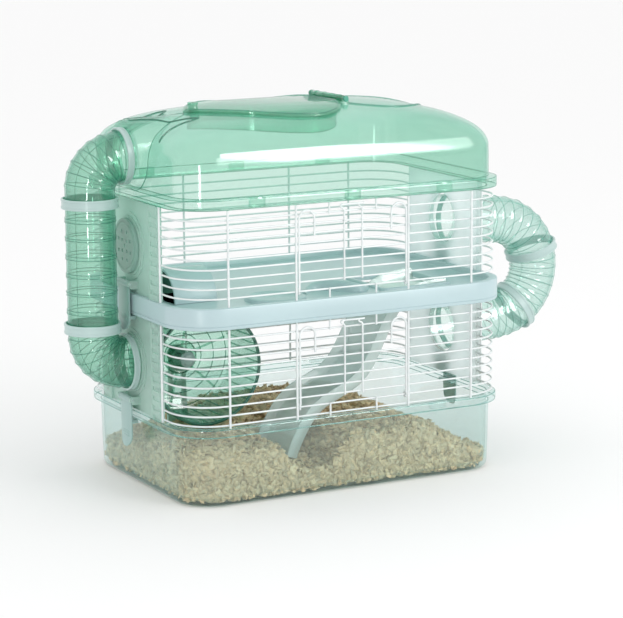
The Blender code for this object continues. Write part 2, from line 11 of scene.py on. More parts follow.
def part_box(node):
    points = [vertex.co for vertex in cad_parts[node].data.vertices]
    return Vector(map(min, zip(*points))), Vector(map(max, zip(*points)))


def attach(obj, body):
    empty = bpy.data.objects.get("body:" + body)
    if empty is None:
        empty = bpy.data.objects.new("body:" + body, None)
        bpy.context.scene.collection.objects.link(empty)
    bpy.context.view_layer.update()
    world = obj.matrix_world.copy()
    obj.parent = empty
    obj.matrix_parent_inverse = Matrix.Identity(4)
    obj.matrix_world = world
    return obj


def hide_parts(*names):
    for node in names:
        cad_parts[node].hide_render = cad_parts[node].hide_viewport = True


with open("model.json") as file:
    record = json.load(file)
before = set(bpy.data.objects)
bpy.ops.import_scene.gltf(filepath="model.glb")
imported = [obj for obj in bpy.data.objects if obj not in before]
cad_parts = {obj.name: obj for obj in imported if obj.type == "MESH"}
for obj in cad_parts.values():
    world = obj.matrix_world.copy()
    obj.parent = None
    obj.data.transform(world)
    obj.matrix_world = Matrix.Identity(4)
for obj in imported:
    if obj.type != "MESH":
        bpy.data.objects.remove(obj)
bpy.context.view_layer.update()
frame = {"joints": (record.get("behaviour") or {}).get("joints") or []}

MM = 0.001


X_AXIS, Y_AXIS, Z_AXIS = (1, 0, 0), (0, 1, 0), (0, 0, 1)
JOINTS = {j["name"]: j for j in frame["joints"]}


def mm_box(node):
    """Corners of a CAD node in millimetres."""
    low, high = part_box(node)
    return low * 1000.0, high * 1000.0


def middle(node, axis):
    """Middle of a CAD node's box along axis 0, 1 or 2."""
    low, high = mm_box(node)
    return (low[axis] + high[axis]) / 2


def joint_z(name):
    return JOINTS[name]["pos_m"][2] * 1000


# Sizes in millimetres that are read from the frame.
HALF_W, HALF_D, BAND_TOP = mm_box("platform")[1]
BAND_LOW = mm_box("platform")[0].z
TRAY_TOP = mm_box("base_tray")[1].z
DOME_LOW = mm_box("dome_top")[0].z
BEDDING_TOP = mm_box("bedding")[1].z
HINGE = Vector(JOINTS["lid_hinge"]["pos_m"]) * 1000
WHEEL = Vector(JOINTS["wheel_spin"]["pos_m"]) * 1000
PORT_LOW_Z = middle("left_port_collar", 2)
PORT_TOP_Z = middle("vent_cap", 2)
LOWER_DOOR_Z = joint_z("lower_door_hinge")
UPPER_DOOR_Z = joint_z("upper_door_hinge")
LOWER_PIN_Z = joint_z("left_lower_clip_hinge")
UPPER_PIN_Z = joint_z("left_upper_clip_hinge")

# Sizes that match the CAD's own.
CORNER_R = 46.6
GAP = 0.3
TUBE_R = 25.4
PORT_R = 26.4
PIN_X = 188.2
SLIDE_Y = -50.0
# Floor of the upper storey, and the hole for the slide in it: x from and to, y from and to.
FLOOR_Z = 190.3
HOLE = (58.0, 132.0, -88.0, -12.0)

# Wires: level courses a pitch apart on the plan WIRE_X by WIRE_Y, uprights outside them.
PITCH = 9.43
DOOR_COURSES = 8
WIRE_X = 180.0
WIRE_Y = 126.4
WIRE_CORNER = 42.0
COURSE_R = 0.92
UPRIGHT_R = 1.15
UPRIGHT_OUT = COURSE_R + UPRIGHT_R - 0.35
# Foot, head, first course and number of courses of each storey.
LOWER = (TRAY_TOP + GAP, BAND_LOW - GAP, 82.0, 10)
UPPER = (BAND_TOP + GAP, DOME_LOW - GAP, 206.1, 9)

# Materials

RAMP_SPAN = (0.3, 0.7)


def node(tree, kind, sockets=(), **settings):
    """A new node with its (socket, value) pairs and its settings."""
    made = tree.nodes.new(kind)
    for key, value in sockets:
        made.inputs[key].default_value = value
    for key, value in settings.items():
        setattr(made, key, value)
    return made


def new_material(name):
    mat = bpy.data.materials.new(name)
    mat.use_nodes = True
    tree = mat.node_tree
    tree.nodes.clear()
    return mat, tree, tree.nodes.new("ShaderNodeOutputMaterial").inputs["Surface"]


def mixed(tree, factor, first, second):
    """Two shaders mixed by a number or by a socket."""
    made = tree.nodes.new("ShaderNodeMixShader")
    if isinstance(factor, float):
        made.inputs["Fac"].default_value = factor
    else:
        tree.links.new(factor, made.inputs["Fac"])
    tree.links.new(first.outputs[0], made.inputs[1])
    tree.links.new(second.outputs[0], made.inputs[2])
    return made


def noise_on(tree, scale, detail=3.0):
    coords = tree.nodes.new("ShaderNodeTexCoord")
    texture = node(tree, "ShaderNodeTexNoise", [("Scale", scale), ("Detail", detail)])
    tree.links.new(coords.outputs["Object"], texture.inputs["Vector"])
    return texture.outputs["Fac"]


def ramp(tree, source, low, high):
    made = tree.nodes.new("ShaderNodeValToRGB")
    for stop, position, colour in zip(made.color_ramp.elements, RAMP_SPAN, (low, high)):
        stop.position = position
        stop.color = (*colour, 1.0)
    tree.links.new(source, made.inputs["Fac"])
    return made.outputs["Color"]


def remap(tree, source, low, high):
    made = node(tree, "ShaderNodeMapRange", [("To Min", low), ("To Max", high)])
    tree.links.new(source, made.inputs["Value"])
    return made.outputs["Result"]


def bump(tree, shader, source, strength, distance):
    made = node(tree, "ShaderNodeBump", [("Strength", strength), ("Distance", distance)])
    tree.links.new(source, made.inputs["Height"])
    tree.links.new(made.outputs["Normal"], shader.inputs["Normal"])


def scaled(colour, factor):
    return tuple(min(1.0, c * factor) for c in colour)


def drifting(tree, shader, scale, low, high, rough):
    """Colour and roughness that drift together between two values; gives the colour."""
    drift = noise_on(tree, scale)
    paint = ramp(tree, drift, low, high)
    tree.links.new(paint, shader.inputs["Base Color"])
    tree.links.new(remap(tree, drift, *rough), shader.inputs["Roughness"])
    return paint


def solid_plastic(name, colour, rough, glow=0.0):
    """Moulded plastic with faint colour drift and a fine grain; glow is the light it lets through."""
    mat, tree, out = new_material(name)
    shader = node(tree, "ShaderNodeBsdfPrincipled", [("Specular IOR Level", 0.45)])
    span = (rough - 0.06, rough + 0.06)
    paint = drifting(tree, shader, 14.0, scaled(colour, 0.965), scaled(colour, 1.03), span)
    bump(tree, shader, noise_on(tree, 2200.0, 1.0), 0.15, 0.00008)
    if glow:
        thin = tree.nodes.new("ShaderNodeBsdfTranslucent")
        tree.links.new(paint, thin.inputs["Color"])
        shader = mixed(tree, glow, shader, thin)
    tree.links.new(shader.outputs[0], out)
    return mat


def clear_plastic(name, tint, body, film, edge, rough=0.05):
    """Tinted see-through moulding: clear face on, deeper where seen edge on."""
    mat, tree, out = new_material(name)
    through = node(tree, "ShaderNodeBsdfTransparent", [("Color", (*tint, 1.0))])
    shader = node(tree, "ShaderNodeBsdfPrincipled", [("Roughness", 0.35), ("Specular IOR Level", 0.2)])
    paint = ramp(tree, noise_on(tree, 9.0), scaled(body, 0.94), scaled(body, 1.05))
    facing = node(tree, "ShaderNodeLayerWeight", [("Blend", 0.5)])

    def falloff(power, low, high):
        curve = node(tree, "ShaderNodeMath", [(1, power)], operation="POWER")
        tree.links.new(facing.outputs["Facing"], curve.inputs[0])
        return remap(tree, curve.outputs["Value"], low, high)

    rim = node(tree, "ShaderNodeMixRGB", [("Color2", (*scaled(body, 0.22), 1.0))])
    tree.links.new(falloff(9.0, 0.0, 1.0), rim.inputs["Fac"])
    tree.links.new(paint, rim.inputs["Color1"])
    tree.links.new(rim.outputs["Color"], shader.inputs["Base Color"])
    inner = mixed(tree, falloff(3.2, film, film + edge), through, shader)
    gloss = node(tree, "ShaderNodeBsdfGlossy", [("Roughness", rough), ("Color", (1.0, 1.0, 1.0, 1.0))])
    bump(tree, gloss, noise_on(tree, 26.0, 1.5), 0.2, 0.0004)
    outer = mixed(tree, falloff(5.0, 0.06, 0.55), inner, gloss)
    tree.links.new(outer.outputs[0], out)
    return mat


def coated_wire(name):
    """White powder coat with a slight orange-peel surface."""
    mat, tree, out = new_material(name)
    shader = node(tree, "ShaderNodeBsdfPrincipled", [("Coat Weight", 0.25), ("Coat Roughness", 0.2)])
    drifting(tree, shader, 60.0, (0.73, 0.77, 0.775), (0.83, 0.87, 0.87), (0.26, 0.4))
    bump(tree, shader, noise_on(tree, 1500.0, 2.0), 0.3, 0.0001)
    tree.links.new(shader.outputs[0], out)
    return mat


def shaving_wood(name):
    """Pale wood shavings: each curl has its own tone and fine grain."""
    mat, tree, out = new_material(name)
    shader = node(tree, "ShaderNodeBsdfPrincipled", [("Specular IOR Level", 0.15), ("Roughness", 0.85)])
    tone = node(tree, "ShaderNodeVertexColor", layer_name="tone")
    grain = noise_on(tree, 900.0, 4.0)
    mix = node(tree, "ShaderNodeMixRGB", [("Fac", 0.55)], blend_type="MULTIPLY")
    tree.links.new(tone.outputs["Color"], mix.inputs["Color1"])
    tree.links.new(ramp(tree, grain, (0.84, 0.8, 0.72), (1.0, 1.0, 1.0)), mix.inputs["Color2"])
    tree.links.new(mix.outputs["Color"], shader.inputs["Base Color"])
    bump(tree, shader, grain, 0.4, 0.0003)
    tree.links.new(shader.outputs[0], out)
    return mat


# Name, tint that passes, colour of the film, film seen face on and added edge on, roughness.
CLEAR = {
    row[0]: clear_plastic(row[0] + "_plastic", *row[1:])
    for row in (
        ("dome", (0.79, 0.925, 0.87), (0.22, 0.64, 0.50), 0.04, 0.62, 0.1),
        ("lid", (0.61, 0.85, 0.745), (0.12, 0.50, 0.36), 0.08, 0.62),
        # The tube row and the paler row after it are one plastic: the paler copy is painted light for the lit
        # right-hand run, the tube row is kept darker as painted shade for the left.
        ("tube", (0.775, 0.905, 0.85), (0.14, 0.50, 0.39), 0.05, 0.75),
        ("right_tube", (0.91, 0.965, 0.95), (0.26, 0.62, 0.52), 0.05, 0.7),
        ("tray", (0.915, 0.96, 0.955), (0.40, 0.76, 0.71), 0.02, 0.36),
        ("wheel", (0.725, 0.89, 0.82), (0.12, 0.48, 0.35), 0.05, 0.75),
        ("slide", (0.94, 0.98, 0.975), (0.84, 0.96, 0.93), 0.55, 0.45),
        ("rib", (0.66, 0.85, 0.78), (0.06, 0.34, 0.26), 0.25, 0.55),
        # A paler copy of the rib plastic for the right-hand tubes: painted light on the lit side.
        ("right_rib", (0.78, 0.91, 0.87), (0.10, 0.44, 0.36), 0.18, 0.6),
        ("tray_rib", (0.66, 0.86, 0.82), (0.10, 0.45, 0.39), 0.25, 0.5),
        ("seam", (0.42, 0.68, 0.58), (0.02, 0.20, 0.14), 0.4, 0.5),
    )
}
# Name, colour, roughness, share of light let through.
SOLID = {
    row[0]: solid_plastic(row[0] + "_plastic", *row[1:])
    for row in (
        ("panel", (0.665, 0.835, 0.775), 0.38, 0.5),
        # A paler copy of the panel plastic that lets more light through, for the right-hand panels: painted
        # light on the lit side.
        ("right_panel", (0.91, 0.95, 0.95), 0.38, 0.92),
        ("band", (0.48, 0.62, 0.645), 0.3),
        ("clip", (0.34, 0.50, 0.475), 0.3),
        ("ring", (0.48, 0.62, 0.60), 0.28),
        ("vent", (0.27, 0.44, 0.38), 0.34),
        ("axle", (0.03, 0.17, 0.125), 0.25),
        ("pin", (0.09, 0.38, 0.28), 0.25),
        # The dark sheet inside the hide: painted shade under the arch.
        ("liner", (0.11, 0.36, 0.26), 0.4),
        ("stand", (0.36, 0.60, 0.50), 0.3),
    )
}
WIRE_COAT = coated_wire("wire_coat")
SHAVINGS = shaving_wood("shavings_wood")

# Mesh tools


def linked(name, data):
    """A new object in the scene."""
    obj = bpy.data.objects.new(name, data)
    bpy.context.scene.collection.objects.link(obj)
    return obj


def smooth(mesh, angle):
    """Smooth shading up to an angle in degrees."""
    mesh.shade_smooth()
    mesh.set_sharp_from_angle(angle=math.radians(angle))


def wrap(name, mesh, mat, sharp=35.0):
    """Object from a mesh, with its points merged and its faces turned out."""
    bm = bmesh.new()
    bm.from_mesh(mesh)
    bmesh.ops.remove_doubles(bm, verts=bm.verts, dist=1e-6)
    bmesh.ops.recalc_face_normals(bm, faces=bm.faces)
    bm.to_mesh(mesh)
    bm.free()
    smooth(mesh, sharp)
    mesh.materials.clear()
    mesh.materials.append(mat)
    return linked(name, mesh)


def loft(name, rings, mat, closed=False, sharp=35.0):
    """Surface through equal rings of millimetre points, capped unless closed."""
    count = len(rings[0])
    verts = [(x * MM, y * MM, z * MM) for ring in rings for x, y, z in ring]
    faces = []
    for r in range(len(rings) if closed else len(rings) - 1):
        a = r * count
        b = (r + 1) % len(rings) * count
        for i in range(count):
            j = (i + 1) % count
            faces.append((a + i, a + j, b + j, b + i))
    if not closed:
        faces.append(tuple(range(count)))
        faces.append(tuple(range(len(verts) - count, len(verts))))
    mesh = bpy.data.meshes.new(name)
    mesh.from_pydata(verts, [], faces)
    return wrap(name, mesh, mat, sharp)


def rounded(x0, x1, y0, y1, r, z, steps):
    """Rounded rectangle at height z, with steps to each corner."""
    points = []
    for k, (cx, cy) in enumerate(((x1 - r, y1 - r), (x0 + r, y1 - r), (x0 + r, y0 + r), (x1 - r, y0 + r))):
        for s in range(steps + 1):
            a = math.radians(90 * (k + s / steps))
            points.append((cx + r * math.cos(a), cy + r * math.sin(a), z))
    return points


def plan(inset, z, radius=None, steps=14):
    """The cage's outline at height z, inset from the band's outer face."""
    half_x = HALF_W - inset
    half_y = HALF_D - inset
    r = min(radius or max(CORNER_R - inset, 3.0), half_y - 0.5)
    return rounded(-half_x, half_x, -half_y, half_y, r, z, steps)


def shell(name, levels, mat):
    """Solid through (inset, height) or (inset, height, radius) levels."""
    return loft(name, [plan(*level) for level in levels], mat)


def fillet(inset_a, z_a, inset_b, z_b, bulge, steps):
    """Quarter ellipse between two levels; bulge picks which side it bows to."""
    levels = []
    for s in range(steps + 1):
        t = math.pi / 2 * s / steps
        i, z = 1 - math.cos(t), math.sin(t)
        if bulge == "in":
            i, z = z, i
        levels.append((inset_a + (inset_b - inset_a) * i, z_a + (z_b - z_a) * z))
    return levels


def bm_object(name, bm, mat):
    bmesh.ops.scale(bm, vec=(MM, MM, MM), verts=bm.verts)
    mesh = bpy.data.meshes.new(name)
    bm.to_mesh(mesh)
    bm.free()
    return wrap(name, mesh, mat)


def box(name, corner, opposite, mat, bevel=0, segments=2):
    """Box between two opposite corners."""
    bm = bmesh.new()
    size = [abs(b - a) for a, b in zip(corner, opposite)]
    centre = [(a + b) / 2 for a, b in zip(corner, opposite)]
    matrix = Matrix.Translation(centre) @ Matrix.Diagonal((*size, 1.0))
    bmesh.ops.create_cube(bm, size=1.0, matrix=matrix)
    if bevel:
        rims = bm.edges[:]
        bmesh.ops.bevel(bm, geom=rims, offset=bevel, segments=segments, profile=0.5, affect="EDGES")
    return bm_object(name, bm, mat)


def rod(name, start, end, radius, mat, sides):
    a = Vector(start)
    b = Vector(end)
    turn = (b - a).to_track_quat("Z", "Y").to_matrix().to_4x4()
    bm = bmesh.new()
    bmesh.ops.create_cone(
        bm, cap_ends=True, segments=sides, radius1=radius, radius2=radius,
        depth=(b - a).length, matrix=Matrix.Translation((a + b) / 2) @ turn,
    )
    return bm_object(name, bm, mat)


def turned(name, origin, axis, profile, mat, sides, closed=True):
    """Round piece: profile of (along, radius) pairs spun about an axis."""
    turn = Vector(axis).to_track_quat("Z", "Y").to_matrix()
    rings = []
    for along, radius in profile:
        ring = []
        for k in range(sides):
            a = 2 * math.pi * k / sides
            p = Vector((radius * math.cos(a), radius * math.sin(a), along))
            ring.append(tuple(Vector(origin) + turn @ p))
        rings.append(ring)
    return loft(name, rings, mat, closed)


def evaluated(obj):
    """The object's mesh with its modifiers applied."""
    graph = bpy.context.evaluated_depsgraph_get()
    return bpy.data.meshes.new_from_object(obj.evaluated_get(graph))


def both_ends(half):
    """Profile or section that is the same on both sides of 0, from its positive half."""
    return [(-along, height) for along, height in reversed(half)] + half


def bake(obj):
    mesh = evaluated(obj)
    obj.modifiers.clear()
    obj.data = mesh


def carve(obj, operation, *tools):
    """Boolean with closed tools, which are dropped."""
    for tool in tools:
        step = obj.modifiers.new("step", "BOOLEAN")
        step.operation = operation
        step.solver = "EXACT"
        step.object = tool
        bake(obj)
        bpy.data.objects.remove(tool, do_unlink=True)
    smooth(obj.data, 35.0)


def soften(obj, width):
    """Round the sharp edges of a finished solid."""
    step = obj.modifiers.new("soften", "BEVEL")
    step.width = width * MM
    step.segments = 2
    step.limit_method = "ANGLE"
    step.angle_limit = math.radians(40.0)
    bake(obj)
    smooth(obj.data, 50.0)
    return obj


def mirror_x(obj):
    """Move a right-hand piece to the left side."""
    obj.data.transform(Matrix.Scale(-1, 4, X_AXIS))
    obj.data.flip_normals()


def join(name, parts):
    """Several objects as one mesh."""
    bm = bmesh.new()
    mat = parts[0].data.materials[0]
    for part in parts:
        bm.from_mesh(part.data)
        bpy.data.objects.remove(part, do_unlink=True)
    mesh = bpy.data.meshes.new(name)
    bm.to_mesh(mesh)
    bm.free()
    mesh.materials.append(mat)
    return linked(name, mesh)


def wires(name, runs, mat):
    """Round wires with flat filled ends, from (radius, points) runs, as one mesh."""
    curve = bpy.data.curves.new(name, "CURVE")
    curve.dimensions = "3D"
    curve.bevel_depth = MM
    curve.bevel_resolution = 3
    curve.use_fill_caps = True
    for radius, points in runs:
        spline = curve.splines.new("POLY")
        spline.points.add(len(points) - 1)
        for p, (x, y, z) in zip(spline.points, points):
            p.co = (x * MM, y * MM, z * MM, 1.0)
            p.radius = radius
    carrier = linked(name + "_curve", curve)
    mesh = evaluated(carrier)
    bpy.data.objects.remove(carrier, do_unlink=True)
    return wrap(name, mesh, mat, 60.0)


def outline_beads(name, levels, mat):
    """Fine beads round the cage's outline at (inset, height) levels."""
    runs = []
    for inset, z in levels:
        loop = plan(inset, z, steps=12)
        runs.append((0.42, loop + loop[:1]))
    return wires(name, runs, mat)


def arc_points(centre, u, v, radius, start, end, steps):
    """Arc in the plane of unit vectors u and v, angles in degrees."""
    points = []
    for s in range(steps + 1):
        a = math.radians(start + (end - start) * s / steps)
        p = Vector(centre) + Vector(u) * radius * math.cos(a)
        p += Vector(v) * radius * math.sin(a)
        points.append(tuple(p))
    return points


def place(obj, body="cage"):
    """An added piece, which rides on a body."""
    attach(obj, body)


def stand_for(obj, cad_node, body="cage"):
    """The piece that is shown in place of a CAD node."""
    place(obj, body)
    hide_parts(cad_node)


# Base tray

def make_tray():
    """Base tray with its rolled rim and the pads on it."""
    rim_low = 70.7
    levels = [(20.0, 0.0, 28.0), (16.0, 0.2, 31.0)]
    levels += fillet(14.5, 0.6, 9.8, 6.5, "in", 5)
    levels += [(9.0, 30.0), (8.3, rim_low - 1.6)]
    levels += fillet(8.3, rim_low - 1.4, 6.6, rim_low, "out", 3)
    levels += [(2.0, rim_low), (1.2, rim_low + 0.3), (1.0, rim_low + 1.2)]
    levels += [(1.0, 74.8), (1.5, 75.2), (1.5, 75.7), (1.0, 76.1)]
    levels += [(1.0, TRAY_TOP - 0.9), (1.3, TRAY_TOP - 0.2), (2.2, TRAY_TOP)]
    levels += [(9.6, TRAY_TOP), (10.3, TRAY_TOP - 0.3), (10.6, TRAY_TOP - 1.4)]
    levels += [(11.2, 34.0), (11.9, 9.0)]
    levels += fillet(12.0, 8.0, 16.5, 2.4, "in", 5)[1:]
    levels += [(20.0, 2.2, 27.0)]
    tray = shell("tray", levels, CLEAR["tray"])
    stand_for(tray, "base_tray")
    pads = []
    for x in (-96.0, 96.0):
        for side in (-1, 1):
            y = side * (HALF_D - 0.55)
            low = (x - 9, y - side * 4, TRAY_TOP - 5.6)
            pads.append(box("pad", low, (x + 9, y, TRAY_TOP + 0.15), CLEAR["tray"], 0.5))
    place(join("tray_pads", pads))
    lines = [(1.6, TRAY_TOP - 0.5), (1.6, rim_low + 0.5), (10.2, TRAY_TOP - 0.5), (8.6, rim_low - 1.0)]
    place(outline_beads("tray_lines", lines, CLEAR["tray_rib"]))


# Bedding

def ease(value, start, end):
    """Smooth step from 0 at start to 1 at end."""
    t = min(max((value - start) / (end - start), 0.0), 1.0)
    return t * t * (3 - 2 * t)


def heap(x, y):
    """Height of the shavings' surface."""
    wave = 1.8 * math.sin(x * 0.031 + 0.8) * math.cos(y * 0.043 - 0.5)
    wave += 1.3 * math.sin(x * 0.083 - y * 0.061)
    rise = BEDDING_TOP - 3.5 + wave
    right = 38.0 * ease(x, 78.0, HALF_W - 14.0)
    left = 27.0 * ease(-x + y * 0.75, 118.0, 225.0)
    foot = 29.0 * ease(x, -84.0, -56.0) * ease(-x, -6.0, 20.0) * ease(-y, -6.0, 16.0)
    return max(rise - right - left - foot, 9.0)


def split_sides(ring):
    """The same outline with its four straight sides cut into short steps."""
    count = len(ring) // 4
    parts = 36
    points = []
    for i, p in enumerate(ring):
        points.append(p)
        q = ring[(i + 1) % len(ring)]
        if i % count == count - 1:
            points += [tuple(a + (b - a) * k / parts for a, b in zip(p, q)) for k in range(1, parts)]
    return points


SURFACE_FLAKES = 9000
WALL_FLAKES = 7600


def make_bedding():
    """Solid core of shavings with loose ones over its top and against the tray's walls."""
    rng = random.Random(11)
    wall = 13.2
    half_x = HALF_W - wall
    half_y = HALF_D - wall
    radius = CORNER_R - wall

    def inside(x, y, margin):
        dx = abs(x) - (half_x - radius)
        dy = abs(y) - (half_y - radius)
        if dx <= 0 or dy <= 0:
            return abs(x) <= half_x - margin and abs(y) <= half_y - margin
        return math.hypot(dx, dy) <= radius - margin

    rings = [plan(22.0, 3.0, 25.0), plan(16.5, 7.0)]
    for inset, r in ((15.2, 0), (22, 26), (34, 30), (50, 34), (70, 34), (90, 28), (112, 14), (127, 4)):
        drop = 4.5 if inset == 15.2 else 3.2
        ring = plan(inset, 0.0, r if r else None)
        rings.append([(x, y, max(heap(x, y) - drop, 7.5)) for x, y, _ in split_sides(ring)])
    rings[:2] = [split_sides(ring) for ring in rings[:2]]
    bed = loft("bed_core", rings, SHAVINGS)
    for item in bed.data.color_attributes.new("tone", "FLOAT_COLOR", "CORNER").data:
        item.color = (0.82, 0.68, 0.47, 1.0)
    stand_for(bed, "bedding")

    verts = []
    faces = []
    tones = []

    def flake(centre, normal, size, lift):
        """One curled shaving lying roughly across a normal."""
        length = size * rng.uniform(0.7, 1.5)
        width = size * rng.uniform(0.4, 0.9)
        curl = rng.uniform(-1.5, 1.5)
        n = (Vector(normal) + Vector([rng.gauss(0, lift) for _ in range(3)])).normalized()
        side = n.cross(Vector([rng.gauss(0, 1) for _ in range(3)])).normalized()
        along = n.cross(side)
        base = len(verts)
        steps = 3
        for s in range(steps + 1):
            t = s / steps - 0.5
            bow = curl * (t * t - 0.08) * length * 0.55
            w = width * (1 - 0.5 * abs(t) * rng.random())
            skew = side * width * 0.18 * rng.uniform(-1, 1)
            p = Vector(centre) + along * length * t + n * bow + skew
            verts.append(tuple(p - side * w / 2))
            verts.append(tuple(p + side * w / 2 + n * width * 0.12 * curl))
        for s in range(steps):
            a = base + 2 * s
            faces.append((a, a + 1, a + 3, a + 2))
        bright = rng.uniform(0.66, 1.0)
        warm = rng.uniform(0.88, 1.08)
        tones.append((1.0 * bright, 0.82 * bright * warm ** 0.5, 0.55 * bright * warm, 1.0))

    for _ in range(SURFACE_FLAKES):
        x = rng.uniform(-half_x, half_x)
        y = rng.uniform(-half_y, half_y)
        if not inside(x, y, 3.2):
            continue
        z = heap(x, y) + rng.uniform(-3.0, 0.8)
        flake((x, y, z), Z_AXIS, rng.uniform(4.4, 10.0), 0.6)
    edge = plan(14.6, 0.0, steps=24)
    spans = []
    total = 0.0
    for i, p in enumerate(edge):
        q = edge[(i + 1) % len(edge)]
        total += math.dist(p, q)
        spans.append((total, p, q))
    for _ in range(WALL_FLAKES):
        pick = rng.uniform(0, total)
        start = 0.0
        for end, p, q in spans:
            if pick <= end:
                break
            start = end
        t = (pick - start) / max(end - start, 1e-6)
        x = p[0] + (q[0] - p[0]) * t
        y = p[1] + (q[1] - p[1]) * t
        out = Vector((q[1] - p[1], p[0] - q[0], 0)).normalized()
        if out.dot(Vector((x, y, 0))) < 0:
            out = -out
        z = rng.uniform(4.0, 58.0)
        depth = rng.uniform(-0.4, 1.7)
        size = rng.uniform(3.4, 9.0)
        if z > heap(x, y) + 0.5:
            continue
        if z < 9:
            depth += (9 - z) * 0.8
        centre = Vector((x, y, z)) - out * depth
        flake(tuple(centre), tuple(out), size, 0.42)
    limit_x = HALF_W - 12.6
    limit_y = HALF_D - 12.6
    points = np.clip(verts, (-limit_x, -limit_y, 2.7), (limit_x, limit_y, TRAY_TOP - 1.0))
    mesh = bpy.data.meshes.new("shavings")
    mesh.from_pydata((points * MM).tolist(), [], faces)
    mesh.materials.append(SHAVINGS)
    layer = mesh.color_attributes.new("tone", "FLOAT_COLOR", "CORNER")
    values = np.repeat(np.array(tones), 12, axis=0)
    layer.data.foreach_set("color", values.ravel())
    mesh.shade_smooth()
    chips = linked("shavings", mesh)
    step = chips.modifiers.new("thick", "SOLIDIFY")
    step.thickness = 0.25 * MM
    bake(chips)
    place(chips)


# Wire panels

def half_course(z):
    """Left half of a course up to the middle of its front corner."""
    centre = (WIRE_CORNER - WIRE_X, WIRE_CORNER - WIRE_Y, z)
    points = [(-WIRE_X, -63.0, z), (-WIRE_X, -69.6, z)]
    return points + arc_points(centre, X_AXIS, Y_AXIS, WIRE_CORNER, 180, 270, 12)


def mirrored(points):
    return [(-x, y, z) for x, y, z in reversed(points)]


def grille_runs(low, high, first, courses, door):
    """Wires of a grille that faces the front, left open at a door if it has one."""
    runs = []
    for k in range(courses):
        z = first + k * PITCH
        left = half_course(z)
        if door is not None and door + 1 < z < door + DOOR_COURSES * PITCH - 1:
            left = left + [(-61.6, -WIRE_Y, z)]
            runs.append((COURSE_R, left))
            runs.append((COURSE_R, mirrored(left)))
        else:
            runs.append((COURSE_R, left + mirrored(left)))
    y = -(WIRE_Y + UPRIGHT_OUT)
    for x in (-135.5, -62.5, 62.5, 135.5):
        runs.append((UPRIGHT_R, [(x, y, low), (x, y, high)]))
    if door is not None:
        for x in (-26.0, 26.0):
            runs.append((UPRIGHT_R * 0.85, [(x, y, low), (x, y, door + 1.2)]))
            top = door + DOOR_COURSES * PITCH - 1.2
            runs.append((UPRIGHT_R * 0.85, [(x, y, top), (x, y, high)]))
    x = WIRE_X + UPRIGHT_OUT
    for side in (-1, 1):
        runs.append((UPRIGHT_R, [(side * x, -72.4, low), (side * x, -72.4, high)]))
    return runs


def make_grilles():
    for storey, level, door in (("lower", LOWER, LOWER_DOOR_Z), ("upper", UPPER, UPPER_DOOR_Z)):
        front = grille_runs(*level, door)
        rear = [(r, [(x, -y, z) for x, y, z in points]) for r, points in grille_runs(*level, None)]
        for name, runs in ((storey + "_front_grille", front), (storey + "_rear_grille", rear)):
            stand_for(wires("wires_" + name, runs, WIRE_COAT), name)


def door_runs(base):
    """Wires of a door: courses, a frame with eyes at its foot, and two hooks."""
    side_x = 59.6
    plane = -128.9
    bend_r = 8.4
    runs = []
    for k in range(1, DOOR_COURSES):
        z = base + k * PITCH
        runs.append((COURSE_R, [(-side_x - 0.6, plane + 1.6, z), (side_x + 0.6, plane + 1.6, z)]))
    top = base + DOOR_COURSES * PITCH + 6.6
    runs.append((1.0, [(-13.0, plane + 0.4, top), (12.4, plane + 0.4, top)]))
    for side in (-1, 1):
        eye = arc_points((side * side_x, -WIRE_Y, base), Y_AXIS, Z_AXIS, 2.5, -150, 178, 16)
        path = [(x + side * 0.5 * i / 16, y, z) for i, (x, y, z) in enumerate(eye)]
        path += [(side * side_x, plane, base + 3.0), (side * side_x, plane, base + 60.0)]
        centre = (side * (side_x - bend_r), plane, base + 70.9)
        path += arc_points(centre, (side, 0, 0), Z_AXIS, bend_r, 0, 180, 14)
        path.append((side * (side_x - 2 * bend_r), plane, base + 53.6))
        runs.append((1.05, path))
        x = side * 10.0
        z = base + DOOR_COURSES * PITCH
        hook = [(x, plane, base + PITCH - 1.8), (x, plane, z + 1.5)]
        hook += [(x - 1.2, plane, z + 3.0), (x - 3.4, plane + 0.3, z + 3.8)]
        hook += [(x - 3.9, plane + 0.4, z + 4.9), (x - 3.4, plane + 0.4, z + 6.8)]
        runs.append((0.95, hook))
    return runs


def make_doors():
    for storey, base in (("lower", LOWER_DOOR_Z), ("upper", UPPER_DOOR_Z)):
        name = storey + "_door"
        stand_for(wires("wires_" + name, door_runs(base), WIRE_COAT), name, storey + "_wire_door")


# Side panels

